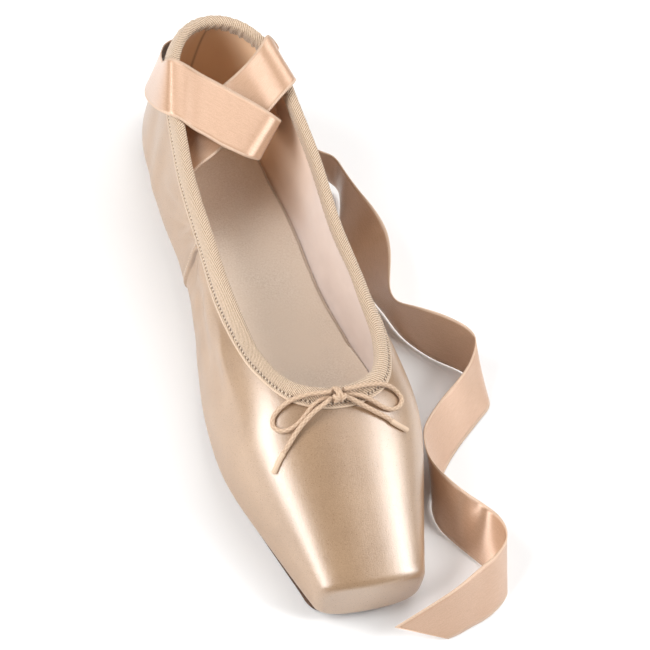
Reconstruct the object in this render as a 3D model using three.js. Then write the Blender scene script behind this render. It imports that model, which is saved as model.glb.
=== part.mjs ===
// A pointe shoe: a hollow satin upper with a stiff toe box, a thin leather outsole, an insole board,
// a bound collar with its drawstring bow, and two satin ribbons, one of which trails over the floor.
// Millimetres, +Z up. The toe points along -Y. Seen from the toe, right is +X and left is -X.
// The origin is on the floor, under the ball of the foot, in the middle of the outsole.
import * as THREE from "three";

// Driving sizes
const LENGTH = 246; // back of the heel to the platform
const BALL_WIDTH = 78;
const WAIST_WIDTH = 58.5;
const HEEL_WIDTH = 53;
const PLATFORM_WIDTH = 40;
const PLATFORM_HEIGHT = 18.5; // above the upper's underside
const PLATFORM_BOW = 2.6; // the platform's middle stands this far forward of its corners
const PLATFORM_TILT = 2.0; // its top edge lies this far back
const BALL_FROM_TOE = 90; // also where the origin lies
const VAMP_LENGTH = 69; // platform to the front of the throat
const THROAT_HEIGHT = 50;
const COLLAR_HEEL_HEIGHT = 60;
const COLLAR_SIDE_HEIGHT = 45;
const HEEL_LEAN = 1; // the heel's top lies this far forward of its bulge
const ARCH_RISE = 3.5;
const TOE_SPRING = 1.2;
const SOLE_THICKNESS = 2.6;
const QUARTER_WALL = 1.6;
const BOX_WALL = 3;
const INSOLE_THICKNESS = 2.2;
const SEAM_STEP = 0.6; // the quarter laps over the vamp by this much at the side seam
const BINDING_WIDTH = 7.2;
const BINDING_THICKNESS = 1;
const RIBBON_THICKNESS = 0.6;
const CORD = 1.75; // the drawstring's diameter
const GAP = 0.3; // between neighbouring pieces

const clamp = THREE.MathUtils.clamp;
const lerp = THREE.MathUtils.lerp;
const smoothstep = THREE.MathUtils.smoothstep;

// A smooth curve through the rows of a table: rows[i].at is a share of the length.
function curve(rows, key) {
  const at = rows.map((row) => row.at);
  const value = rows.map((row) => row[key]);
  const last = rows.length - 1;
  const slope = value.map((_, i) => {
    const before = Math.max(i - 1, 0);
    const after = Math.min(i + 1, last);
    return (value[after] - value[before]) / (at[after] - at[before]);
  });
  return (share) => {
    const s = clamp(share, at[0], at[last]);
    let i = 0;
    while (i < last - 1 && s > at[i + 1]) i++;
    const span = at[i + 1] - at[i];
    const u = (s - at[i]) / span;
    const rise = value[i + 1] - value[i];
    const a = slope[i] * span - rise;
    const b = rise - slope[i + 1] * span;
    return value[i] + u * rise + u * (1 - u) * ((1 - u) * a + u * b);
  };
}

// The last, by sections from the heel (0) to the platform (1).
// half: half its width; belly: height of the widest line above its underside; crown: height of its top.
const UNDERSIDE = SOLE_THICKNESS + GAP * 1.5;
const PLATFORM_TOP = UNDERSIDE + PLATFORM_HEIGHT;
const THROAT = 1 - VAMP_LENGTH / LENGTH;
const BALL = 1 - BALL_FROM_TOE / LENGTH;
const VAMP_RISE = THROAT_HEIGHT - PLATFORM_TOP;
const SECTIONS = [
  { at: 0.0, half: HEEL_WIDTH * 0.49, belly: 17, crown: THROAT_HEIGHT * 1.62 },
  { at: 0.14, half: HEEL_WIDTH * 0.5, belly: 18, crown: THROAT_HEIGHT * 1.64 },
  { at: 0.28, half: WAIST_WIDTH * 0.495, belly: 18, crown: THROAT_HEIGHT * 1.5 },
  { at: 0.42, half: WAIST_WIDTH * 0.5, belly: 17, crown: THROAT_HEIGHT * 1.26 },
  { at: 0.54, half: BALL_WIDTH * 0.437, belly: 14, crown: THROAT_HEIGHT * 1.075 },
  { at: 0.63, half: BALL_WIDTH * 0.488, belly: 12, crown: THROAT_HEIGHT * 1.025 },
  { at: THROAT, half: BALL_WIDTH * 0.502, belly: 11, crown: THROAT_HEIGHT * 0.985 },
  { at: 0.78, half: BALL_WIDTH * 0.473, belly: 10, crown: PLATFORM_TOP + VAMP_RISE * 0.8 },
  { at: 0.88, half: BALL_WIDTH * 0.376, belly: 9, crown: PLATFORM_TOP + VAMP_RISE * 0.45 },
  { at: 1.0, half: PLATFORM_WIDTH * 0.5, belly: 8, crown: PLATFORM_TOP },
];
const halfWidthOf = curve(SECTIONS, "half");
const bellyOf = curve(SECTIONS, "belly");
const crownOf = curve(SECTIONS, "crown");
const UPPER_ROUNDNESS = 2.5; // exponents of the section's two rounded halves
const LOWER_ROUNDNESS = 5;

// The collar's height, seen from the side
const COLLAR = [
  { at: 0, height: COLLAR_HEEL_HEIGHT },
  { at: 0.08, height: COLLAR_HEEL_HEIGHT * 0.99 },
  { at: 0.22, height: lerp(COLLAR_SIDE_HEIGHT, COLLAR_HEEL_HEIGHT, 0.45) },
  { at: 0.4, height: COLLAR_SIDE_HEIGHT },
  { at: 0.54, height: lerp(COLLAR_SIDE_HEIGHT, THROAT_HEIGHT, -0.05) },
  { at: 0.61, height: lerp(COLLAR_SIDE_HEIGHT, THROAT_HEIGHT, 0.16) },
  { at: 0.66, height: lerp(COLLAR_SIDE_HEIGHT, THROAT_HEIGHT, 0.42) },
  { at: 0.69, height: lerp(COLLAR_SIDE_HEIGHT, THROAT_HEIGHT, 0.64) },
  { at: THROAT, height: THROAT_HEIGHT * 0.987 },
  { at: 1, height: THROAT_HEIGHT },
];
const collarHeightOf = curve(COLLAR, "height");

// The heel is round in plan: HEEL_ROUND long, as a rounded share of the width
const HEEL_ROUND = 38;
const HEEL_ROUNDNESS = 2.08;

// How far the sole is lifted off the floor: the arch, and the toe spring
function lift(t) {
  const arch = smoothstep(t, LENGTH * 0.2, LENGTH * 0.36) * (1 - smoothstep(t, LENGTH * 0.38, LENGTH * 0.56));
  const spring = Math.max(0, (t / LENGTH - 0.86) / 0.14);
  return ARCH_RISE * arch + TOE_SPRING * spring * spring;
}

// Distance from the last's surface, along the section's radius: under 0 inside.
// t runs from the back of the heel towards the toe.
function lastDistance(x, t, z) {
  const leanHeight = Math.max(0, z - 18) / 40;
  const lean = HEEL_LEAN * leanHeight ** 2 * (1 - smoothstep(t, 20, 90));
  const back = t - lean;
  const share = back / LENGTH;
  const under = UNDERSIDE + lift(t);
  const widest = under + bellyOf(share);
  const above = z >= widest;
  const reach = above ? crownOf(share) - widest : widest - under;
  const power = above ? UPPER_ROUNDNESS : LOWER_ROUNDNESS;
  const behind = Math.max(0, HEEL_ROUND - back);
  const plan = ((Math.abs(x) / halfWidthOf(share)) ** HEEL_ROUNDNESS + (behind / HEEL_ROUND) ** HEEL_ROUNDNESS)
    ** (1 / HEEL_ROUNDNESS);
  const norm = (plan ** power + (Math.abs(z - widest) / reach) ** power) ** (1 / power);
  const section = Math.hypot(x, z - widest, behind) * (1 - 1 / Math.max(norm, 0.02));
  const front = LENGTH - PLATFORM_BOW * (x / (PLATFORM_WIDTH / 2)) ** 2
    - PLATFORM_TILT * Math.max(0, (z - under) / PLATFORM_HEIGHT);
  const platform = t - front;
  const corner = lerp(2.5, 4.5, smoothstep(z, under + 1, under + 9));
  const a = Math.max(section + corner, 0);
  const b = Math.max(platform + corner, 0);
  return Math.min(Math.max(section, platform), -corner) + Math.hypot(a, b);
}

// Outward direction of the last's surface in x, t and z
function lastNormal(x, t, z) {
  const h = 0.02;
  const g = new THREE.Vector3(
    lastDistance(x + h, t, z) - lastDistance(x - h, t, z),
    lastDistance(x, t + h, z) - lastDistance(x, t - h, z),
    lastDistance(x, t, z + h) - lastDistance(x, t, z - h),
  );
  return g.normalize();
}

// The upper is a ring of profiles round a spine inside the shoe. Each profile lies in an upright plane
// that starts at the spine and runs outwards, under the foot, up the side and in to the collar.
const SPINE_HEEL = 32;
const SPINE_TOE = LENGTH * 0.466;
const FAN = [
  { at: 0.0, angle: 0, spine: SPINE_HEEL },
  { at: 0.25, angle: 78, spine: SPINE_HEEL },
  { at: 0.5, angle: 95, spine: SPINE_TOE },
  { at: 1.0, angle: 180, spine: SPINE_TOE },
];
function fanAt(q) {
  const i = FAN.findIndex((row) => row.at >= q && row.at > 0);
  const u = (q - FAN[i - 1].at) / (FAN[i].at - FAN[i - 1].at);
  const angle = THREE.MathUtils.degToRad(lerp(FAN[i - 1].angle, FAN[i].angle, u));
  return {
    spine: lerp(FAN[i - 1].spine, FAN[i].spine, u),
    sideways: Math.sin(angle),
    forwards: -Math.cos(angle),
  };
}
const CENTRE_HEIGHT = 13; // the profiles are traced by rays from this height

// Distance from (r, z) in the fan's plane to the surface, along a ray
function rayLength(fan, r, z, dr, dz) {
  const at = (s) =>
    lastDistance(fan.sideways * (r + dr * s), fan.spine + fan.forwards * (r + dr * s), z + dz * s);
  let inside = 0;
  let outside = 160;
  for (let i = 0; i < 26; i++) {
    const middle = (inside + outside) / 2;
    if (at(middle) < 0) inside = middle;
    else outside = middle;
  }
  return inside;
}

// How far the outsole's edge stays inside the upper's widest line
const SOLE_MARGIN = [
  { at: 0.0, margin: 6.5 },
  { at: 0.14, margin: 8 },
  { at: 0.36, margin: 12.5 },
  { at: 0.52, margin: 9.5 },
  { at: BALL, margin: 7.5 },
  { at: 0.86, margin: 6.2 },
  { at: 1.0, margin: 1.8 },
];
const soleMarginOf = curve(SOLE_MARGIN, "margin");
const TURNED_UNDER = 5; // the upper runs this far in under the outsole
const RAYS = 300;

// The profile of the right side at q, 0 at the heel to 1 at the toe, from the sole opening to the collar
function traceProfile(q) {
  const fan = fanAt(q);
  const widest = rayLength(fan, 0, CENTRE_HEIGHT, 1, 0);
  const centre = Math.max(widest * 0.55, widest - 32);
  const edgeT = fan.spine + fan.forwards * widest;
  const soleReach = widest - soleMarginOf(edgeT / LENGTH);
  const opening = soleReach - TURNED_UNDER;
  const points = [];
  for (let i = 0; i <= RAYS; i++) {
    const angle = THREE.MathUtils.degToRad(lerp(-140, 165, i / RAYS));
    const dr = Math.cos(angle);
    const dz = Math.sin(angle);
    const s = rayLength(fan, centre, CENTRE_HEIGHT, dr, dz);
    const r = centre + dr * s;
    points.push({ r, x: fan.sideways * r, t: fan.spine + fan.forwards * r, z: CENTRE_HEIGHT + dz * s });
  }
  const first = points.findIndex((p) => p.r > opening);
  const over = (p) => p.z - collarHeightOf(p.t / LENGTH);
  const past = points.findIndex((p, i) => i > first && over(p) > 0);
  const start = mix(points[first - 1], points[first],
    (opening - points[first - 1].r) / (points[first].r - points[first - 1].r));
  const end = mix(points[past - 1], points[past],
    -over(points[past - 1]) / (over(points[past]) - over(points[past - 1])));
  const line = [start, ...points.slice(first, past), end];
  const along = [0];
  for (let i = 1; i < line.length; i++) {
    const a = line[i - 1];
    const b = line[i];
    along.push(along[i - 1] + Math.hypot(b.r - a.r, b.z - a.z));
  }
  const length = along[along.length - 1];
  const inner = line.map((p, i) => innerPoint(fan, centre, p, wallAt(p.t, length - along[i])));
  return { fan, line, inner, along, length, soleReach, opening, widest };
}
function mix(p, q, u) {
  const result = {};
  for (const key of Object.keys(p)) result[key] = lerp(p[key], q[key], u);
  return result;
}

// The place inside the wall that belongs to a place p on the satin
function innerPoint(fan, centre, p, wall) {
  const n = lastNormal(p.x, p.t, p.z);
  const inwards = new THREE.Vector2(-(n.x * fan.sideways + n.y * fan.forwards), -n.z).normalize();
  const home = new THREE.Vector2(centre - p.r, CENTRE_HEIGHT - p.z).normalize();
  const way = home.lerp(inwards, lerp(0.55, 1, smoothstep(p.z, CENTRE_HEIGHT, CENTRE_HEIGHT + 9))).normalize();
  const at = (s) => {
    const r = p.r + way.x * s;
    return { r, x: fan.sideways * r, t: fan.spine + fan.forwards * r, z: p.z + way.y * s };
  };
  let near = 0;
  let far = 14;
  for (let i = 0; i < 24; i++) {
    const middle = at((near + far) / 2);
    if (lastDistance(middle.x, middle.t, middle.z) > -wall) near = (near + far) / 2;
    else far = (near + far) / 2;
  }
  return at(far);
}

// A place on a profile, at a distance from its start
function placeOn(profile, distance, key = "line") {
  const { along } = profile;
  let i = 1;
  while (i < along.length - 1 && along[i] < distance) i++;
  const u = (distance - along[i - 1]) / (along[i] - along[i - 1]);
  return mix(profile[key][i - 1], profile[key][i], u);
}

// Distances along a profile, close together where it bends
function spacing(profile, count, bendWeight) {
  const { line, along } = profile;
  const weight = [0];
  for (let i = 1; i < line.length; i++) {
    let turn = 0;
    if (i < line.length - 1) {
      const a = Math.atan2(line[i].z - line[i - 1].z, line[i].r - line[i - 1].r);
      const b = Math.atan2(line[i + 1].z - line[i].z, line[i + 1].r - line[i].r);
      turn = Math.abs(Math.atan2(Math.sin(b - a), Math.cos(b - a)));
    }
    weight.push(weight[i - 1] + along[i] - along[i - 1] + bendWeight * turn);
  }
  const total = weight[weight.length - 1];
  const places = [];
  let i = 1;
  for (let k = 0; k < count; k++) {
    const wanted = (total * k) / (count - 1);
    while (i < weight.length - 1 && weight[i] < wanted) i++;
    const u = clamp((wanted - weight[i - 1]) / (weight[i] - weight[i - 1]), 0, 1);
    places.push(lerp(along[i - 1], along[i], u));
  }
  return places;
}

// The outline's arc length, so that a share round the shoe becomes a place in the fan
const OUTLINE_STEPS = 240;
const outline = [];
for (let i = 0; i <= OUTLINE_STEPS; i++) {
  const q = i / OUTLINE_STEPS;
  const fan = fanAt(q);
  const r = rayLength(fan, 0, CENTRE_HEIGHT, 1, 0);
  const x = fan.sideways * r;
  const t = fan.spine + fan.forwards * r;
  const before = outline[i - 1];
  outline.push({ q, x, t, along: before ? before.along + Math.hypot(x - before.x, t - before.t) : 0 });
}
function fanShare(share) {
  const wanted = share * outline[OUTLINE_STEPS].along;
  const i = clamp(outline.findIndex((p) => p.along >= wanted), 1, OUTLINE_STEPS);
  const u = (wanted - outline[i - 1].along) / (outline[i].along - outline[i - 1].along);
  return lerp(outline[i - 1].q, outline[i].q, u);
}
const profiles = new Map();
function profileAt(share) {
  const key = share.toFixed(6);
  if (!profiles.has(key)) profiles.set(key, traceProfile(clamp(fanShare(share), 0, 1)));
  return profiles.get(key);
}

// A point of the part from last coordinates. side is 1 on the right and -1 on the left.
const toPart = (x, t, z, side = 1) => new THREE.Vector3(side * x, LENGTH - BALL_FROM_TOE - t, z);

// The upper's own surface: a point at a share round one side, at a depth below the collar's edge and
// an offset out from the satin. Depths under 0 run on past the edge.
function skin(side, share, depth, offset) {
  const profile = profileAt(share);
  const end = profile.line[profile.line.length - 1];
  const p = placeOn(profile, clamp(profile.length - Math.max(depth, 0), 0, profile.length));
  const n = lastNormal(p.x, p.t, p.z);
  const point = new THREE.Vector3(p.x, p.t, p.z).addScaledVector(n, offset);
  if (depth < 0) {
    const below = placeOn(profile, profile.length - 3);
    const rise = new THREE.Vector3(end.x - below.x, end.t - below.t, end.z - below.z).normalize();
    point.addScaledVector(rise, -depth);
  }
  return toPart(point.x, point.y, point.z, side);
}

// The wall's thickness: thin at the collar and the quarters, stiff and thick in the box
function wallAt(t, depth) {
  const box = smoothstep(t, LENGTH * 0.5, LENGTH * 0.68) * smoothstep(depth, BINDING_WIDTH, BINDING_WIDTH + 14);
  return lerp(QUARTER_WALL, BOX_WALL, box);
}

// A solid swept through rows of points: each row is a closed section with as many points as the others.
function sweep(rows, closed) {
  const count = rows[0].length;
  const positions = rows.flat().flatMap((p) => [p.x, p.y, p.z]);
  const index = [];
  const at = (i, k) => (i % rows.length) * count + (k % count);
  const steps = closed ? rows.length : rows.length - 1;
  for (let i = 0; i < steps; i++) {
    for (let k = 0; k < count; k++) {
      index.push(at(i, k), at(i + 1, k), at(i + 1, k + 1));
      index.push(at(i, k), at(i + 1, k + 1), at(i, k + 1));
    }
  }
  if (!closed) {
    for (const [i, flip] of [[0, false], [rows.length - 1, true]]) {
      for (const [a, b, c] of capTriangles(rows[i])) {
        const tri = flip ? [a, c, b] : [a, b, c];
        index.push(...tri.map((k) => at(i, k)));
      }
    }
  }
  return solid(positions, index);
}

// A geometry whose faces are turned outwards
function solid(positions, index) {
  let volume = 0;
  const p = (k) => new THREE.Vector3().fromArray(positions, index[k] * 3);
  for (let k = 0; k < index.length; k += 3) volume += p(k).dot(p(k + 1).cross(p(k + 2)));
  if (volume < 0) for (let k = 0; k < index.length; k += 3) [index[k], index[k + 1]] = [index[k + 1], index[k]];
  const geometry = new THREE.BufferGeometry();
  geometry.setAttribute("position", new THREE.Float32BufferAttribute(positions, 3));
  geometry.setIndex(index);
  geometry.computeVertexNormals();
  return geometry;
}

// Triangles that close a flat section, turning the same way as the section
function capTriangles(section) {
  const centre = section.reduce((sum, p) => sum.add(p), new THREE.Vector3()).divideScalar(section.length);
  const normal = new THREE.Vector3();
  section.forEach((p, k) => {
    const next = section[(k + 1) % section.length];
    normal.add(p.clone().sub(centre).cross(next.clone().sub(centre)));
  });
  normal.normalize();
  const across = section[0].clone().sub(section[Math.floor(section.length / 2)]);
  across.addScaledVector(normal, -across.dot(normal)).normalize();
  const up = normal.clone().cross(across);
  const flat = section.map((p) => new THREE.Vector2(p.clone().sub(centre).dot(across), p.clone().sub(centre).dot(up)));
  return THREE.ShapeUtils.triangulateShape(flat, []);
}

// Stations round the ring: shares of one side from heel to toe, closer at the platform's corner
const CORNER_SHARE = 1 - (PLATFORM_WIDTH * 0.5) / outline[OUTLINE_STEPS].along;
function ringShares(count) {
  const density = (s) => 1 + 3.2 * Math.exp(-(((s - CORNER_SHARE) / 0.03) ** 2)) + 0.8 * Math.exp(-((s / 0.12) ** 2));
  const fine = 400;
  const sum = [0];
  for (let i = 1; i <= fine; i++) sum.push(sum[i - 1] + density((i - 0.5) / fine));
  return Array.from({ length: count + 1 }, (_, k) => {
    const wanted = (sum[fine] * k) / count;
    let i = 1;
    while (i < fine && sum[i] < wanted) i++;
    return (i - 1 + (wanted - sum[i - 1]) / (sum[i] - sum[i - 1])) / fine;
  });
}
// Both sides as one closed ring of { side, share }
function ring(shares) {
  const right = shares.map((share) => ({ side: 1, share }));
  const left = shares.slice(1, -1).reverse().map((share) => ({ side: -1, share }));
  return [...right, ...left];
}

// Upper
const SEAM_SHARE = 0.4; // the side seams' place round each side
const SEAM_WIDTH = 0.0022;
const LAP_FADE = 0.05;
function seamStep(share) {
  const behind = SEAM_SHARE - share;
  return behind < 0 ? 0 : SEAM_STEP * (1 - smoothstep(behind, 0, LAP_FADE));
}
const UPPER_STATIONS = 36;
const UPPER_ROWS = 20;
const BEND_WEIGHT = 14;
const upperShares = ringShares(UPPER_STATIONS).filter((s) => Math.abs(s - SEAM_SHARE) > 0.008);
upperShares.push(SEAM_SHARE - SEAM_WIDTH / 2, SEAM_SHARE + SEAM_WIDTH / 2, SEAM_SHARE - LAP_FADE / 2);
upperShares.sort((a, b) => a - b);

function upperSection({ side, share }) {
  const profile = profileAt(share);
  const outer = [];
  const inner = [];
  for (const distance of spacing(profile, UPPER_ROWS, BEND_WEIGHT)) {
    const p = placeOn(profile, distance);
    const n = lastNormal(p.x, p.t, p.z);
    const depth = profile.length - distance;
    const inside = placeOn(profile, distance, "inner");
    const fade = smoothstep(depth, BINDING_WIDTH, BINDING_WIDTH + 3) * smoothstep(distance, 2, TURNED_UNDER + 8);
    const out = seamStep(share) * fade;
    outer.push(toPart(p.x + n.x * out, p.t + n.y * out, p.z + n.z * out, side));
    inner.push(toPart(inside.x, inside.t, inside.z, side));
  }
  return [...outer, ...inner.reverse()];
}

// A plate from stations all round the shoe: each section runs from the spine out to the edge and back.
function plate(sections) {
  const count = sections[0].length;
  const positions = sections.flat().flatMap((p) => [p.x, p.y, p.z]);
  const index = [];
  const at = (i, k) => (i % sections.length) * count + k;
  const point = (k) => new THREE.Vector3().fromArray(positions, k * 3);
  const push = (a, b, c) => {
    const [p, q, r] = [point(a), point(b), point(c)];
    if (p.distanceTo(q) > 1e-4 && q.distanceTo(r) > 1e-4 && r.distanceTo(p) > 1e-4) index.push(a, b, c);
  };
  sections.forEach((_, i) => {
    for (let k = 0; k < count - 1; k++) {
      push(at(i, k), at(i + 1, k), at(i + 1, k + 1));
      push(at(i, k), at(i + 1, k + 1), at(i, k + 1));
    }
  });
  return solid(positions, index);
}

// Outsole: its top edge follows the satin above it, its underside is flat but for the arch and the spring
const SOLE_BEVEL = 0.8;
const RADIAL = [0, 0.12, 0.25, 0.5]; // shares of the way from the spine to the opening's edge
function outsoleSection({ side, share }) {
  const { fan, soleReach, opening } = profileAt(share);
  const tAt = (r) => fan.spine + fan.forwards * r;
  const at = (r, z) => toPart(fan.sideways * r, tAt(r), z, side);
  const flat = (r, up) => at(r, lift(tAt(r)) + up);
  const underSatin = (r) => at(r, CENTRE_HEIGHT - rayLength(fan, r, CENTRE_HEIGHT, 0, -1) - GAP * 1.5);
  const inner = RADIAL.map((k) => k * opening);
  return [
    ...inner.map((r) => flat(r, 0)),
    flat(opening, 0),
    flat(soleReach - SOLE_BEVEL * 1.5, 0),
    flat(soleReach, SOLE_BEVEL),
    underSatin(soleReach),
    underSatin(soleReach - 2),
    flat(opening, SOLE_THICKNESS),
    ...inner.reverse().map((r) => flat(r, SOLE_THICKNESS)),
  ];
}

// Insole: fills the opening and lies on the turned-in edge of the upper, clear of the wall
const SEAT_RISE = 1.2; // the turned-in edge rises this much towards its bend
function insoleSection({ side, share }) {
  const profile = profileAt(share);
  const { fan, opening, inner } = profile;
  const tAt = (r) => fan.spine + fan.forwards * r;
  const at = (r, z) => toPart(fan.sideways * r, tAt(r), z, side);
  const base = (r) => UNDERSIDE + lift(tAt(r));
  const top = (r) => base(r) + wallAt(tAt(r), LENGTH) + SEAT_RISE + INSOLE_THICKNESS;
  const last = inner.findIndex((p) => p.z > top(p.r) - 1.6);
  const inBox = smoothstep(inner[last].t, LENGTH * 0.8, LENGTH * 0.94);
  const edge = inner[last].r - lerp(1, 9, inBox) * GAP;
  const middle = inner[Math.round(last * 0.6)];
  const fill = Math.min(opening, inner[0].r) - 0.9;
  return [
    ...RADIAL.map((k) => at(k * opening, base(k * opening))),
    at(fill, base(fill)),
    at(fill, inner[0].z + 2 * GAP),
    at(middle.r - inBox, middle.z + lerp(3, 5, inBox) * GAP),
    at(edge, top(edge) - 0.7),
    at(edge - 0.5, top(edge)),
    ...RADIAL.map((k) => at(k * opening, top(k * opening))).reverse(),
  ];
}

// Binding: a tape folded over the collar's edge, with its drawstring inside
const BINDING_INSIDE = 6; // how far it reaches down inside
function bindingSection({ side, share }) {
  const inside = -(QUARTER_WALL + GAP);
  const t = BINDING_THICKNESS;
  const p = (depth, offset) => skin(side, share, depth, offset);
  return [
    p(BINDING_WIDTH, GAP),
    p(BINDING_WIDTH - 0.4, GAP + t * 1.1),
    p(BINDING_WIDTH / 2, GAP + t),
    p(0.5, GAP + t),
    p(-GAP - t * 0.9, GAP),
    p(-GAP - t * 0.9, inside),
    p(0.5, inside - t),
    p(BINDING_INSIDE, inside - t * 0.8),
    p(BINDING_INSIDE, inside),
    p(-GAP, inside),
    p(-GAP, GAP),
    p(BINDING_WIDTH / 2, GAP),
  ];
}

// Ribbons: strips between two edges, each row a place on the upper edge (x, y, z) and on the lower (x2, y2, z2)
function strip(rows, steps) {
  const upperEdge = new THREE.CatmullRomCurve3(rows.map((row) => row.upper));
  const lowerEdge = new THREE.CatmullRomCurve3(rows.map((row) => row.lower));
  const count = (rows.length - 1) * steps;
  const upper = [];
  const lower = [];
  for (let i = 0; i <= count; i++) {
    upper.push(upperEdge.getPoint(i / count));
    lower.push(lowerEdge.getPoint(i / count));
  }
  const positions = upper.flatMap((a, i) => {
    const b = lower[i];
    const before = Math.max(i - 1, 0);
    const after = Math.min(i + 1, count);
    const middle = (k) => upper[k].clone().add(lower[k]).multiplyScalar(0.5);
    const travel = middle(after).sub(middle(before));
    const half = travel.cross(a.clone().sub(b)).setLength(RIBBON_THICKNESS / 2);
    const corners = [a.clone().add(half), b.clone().add(half), b.clone().sub(half), a.clone().sub(half)];
    return corners.flatMap((p) => [p.x, p.y, p.z]);
  });
  // Front and back are cut along the same diagonal, the shorter, so that a twisted strip keeps its thickness
  const index = [0, 1, 2, 0, 2, 3];
  for (let i = 0; i < count; i++) {
    const here = (k) => i * 4 + k;
    const next = (k) => here(k) + 4;
    const falls = upper[i].distanceTo(lower[i + 1]) < lower[i].distanceTo(upper[i + 1]);
    for (let k = 0; k < 4; k++) {
      const m = (k + 1) % 4;
      if (falls === (k < 2)) index.push(here(k), next(k), next(m), here(k), next(m), here(m));
      else index.push(here(k), next(k), here(m), next(k), next(m), here(m));
    }
  }
  index.push(...[0, 2, 1, 0, 3, 2].map((k) => count * 4 + k));
  return solid(positions, index);
}
// Free rows are drawn for a shoe 246 long, 53 wide and 60 high at the heel, whose heel's back is at y 156.
// They move with the heel, and grow only when most of those sizes do
const RIBBON_ROWS = { length: 246, heelWidth: 53, heelHeight: 60, heelBack: 156 };
const ribbonGrowth = [
  LENGTH / RIBBON_ROWS.length,
  HEEL_WIDTH / RIBBON_ROWS.heelWidth,
  COLLAR_HEEL_HEIGHT / RIBBON_ROWS.heelHeight,
].sort((a, b) => a - b)[1];
const drawn = (x, y, z) => new THREE.Vector3(
  x * ribbonGrowth,
  LENGTH - BALL_FROM_TOE - (RIBBON_ROWS.heelBack - y) * ribbonGrowth,
  z * ribbonGrowth,
);
const free = (row) => ({ upper: drawn(row.x, row.y, row.z), lower: drawn(row.x2, row.y2, row.z2) });
// A row that lies on the satin: side, share round it, depths of its two edges under the collar, height over the satin
const hugging = (row) => ({
  upper: skin(row.side, row.share, row.top, row.over),
  lower: skin(row.side, row.share, row.bottom, row.over),
});

// Outer ribbon: sewn inside the right quarter, over the left topline, round the heel, then on the floor
const OUTER_ACROSS = [
  { x: 19.5, y: 128.5, z: 41, x2: 23.2, y2: 118, z2: 26 },
  { x: 20.6, y: 121, z: 42, x2: 20, y2: 111.5, z2: 29 },
  { x: 20.4, y: 113, z: 43.5, x2: 15, y2: 103.5, z2: 33 },
  { x: 19.2, y: 106, z: 46.3, x2: 9.3, y2: 95, z2: 38.5 },
  { x: 17.5, y: 103, z: 50, x2: 5, y2: 89.7, z2: 43.8 },
  { x: 15.5, y: 102.5, z: 52.5, x2: 2, y2: 88.5, z2: 46.5 },
  { x: 12.4, y: 104, z: 54.5, x2: -1.4, y2: 89, z2: 48 },
  { x: 8, y: 108, z: 55.5, x2: -5, y2: 91, z2: 49 },
  { x: 2, y: 113.5, z: 56, x2: -10, y2: 94.5, z2: 49.5 },
  { x: -6.3, y: 120.5, z: 57, x2: -15.3, y2: 99.5, z2: 50.3 },
  { x: -12.5, y: 124.5, z: 58.7, x2: -20, y2: 102.6, z2: 51.6 },
  { x: -18.2, y: 127.8, z: 61.4, x2: -25, y2: 106, z2: 54.6 },
  { x: -22.6, y: 130.5, z: 61.8, x2: -29.3, y2: 110, z2: 53.2 },
];
const OUTER_ROUND_HEEL = [
  { side: -1, share: 0.122, top: 4.5, bottom: 27, over: 2.3 },
  { side: -1, share: 0.088, top: 11, bottom: 33, over: 2.4 },
  { side: -1, share: 0.05, top: 17, bottom: 39, over: 2.9 },
  { side: -1, share: 0.008, top: 22, bottom: 44, over: 3 },
  { side: 1, share: 0.03, top: 26, bottom: 47, over: 3.7 },
];
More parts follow.
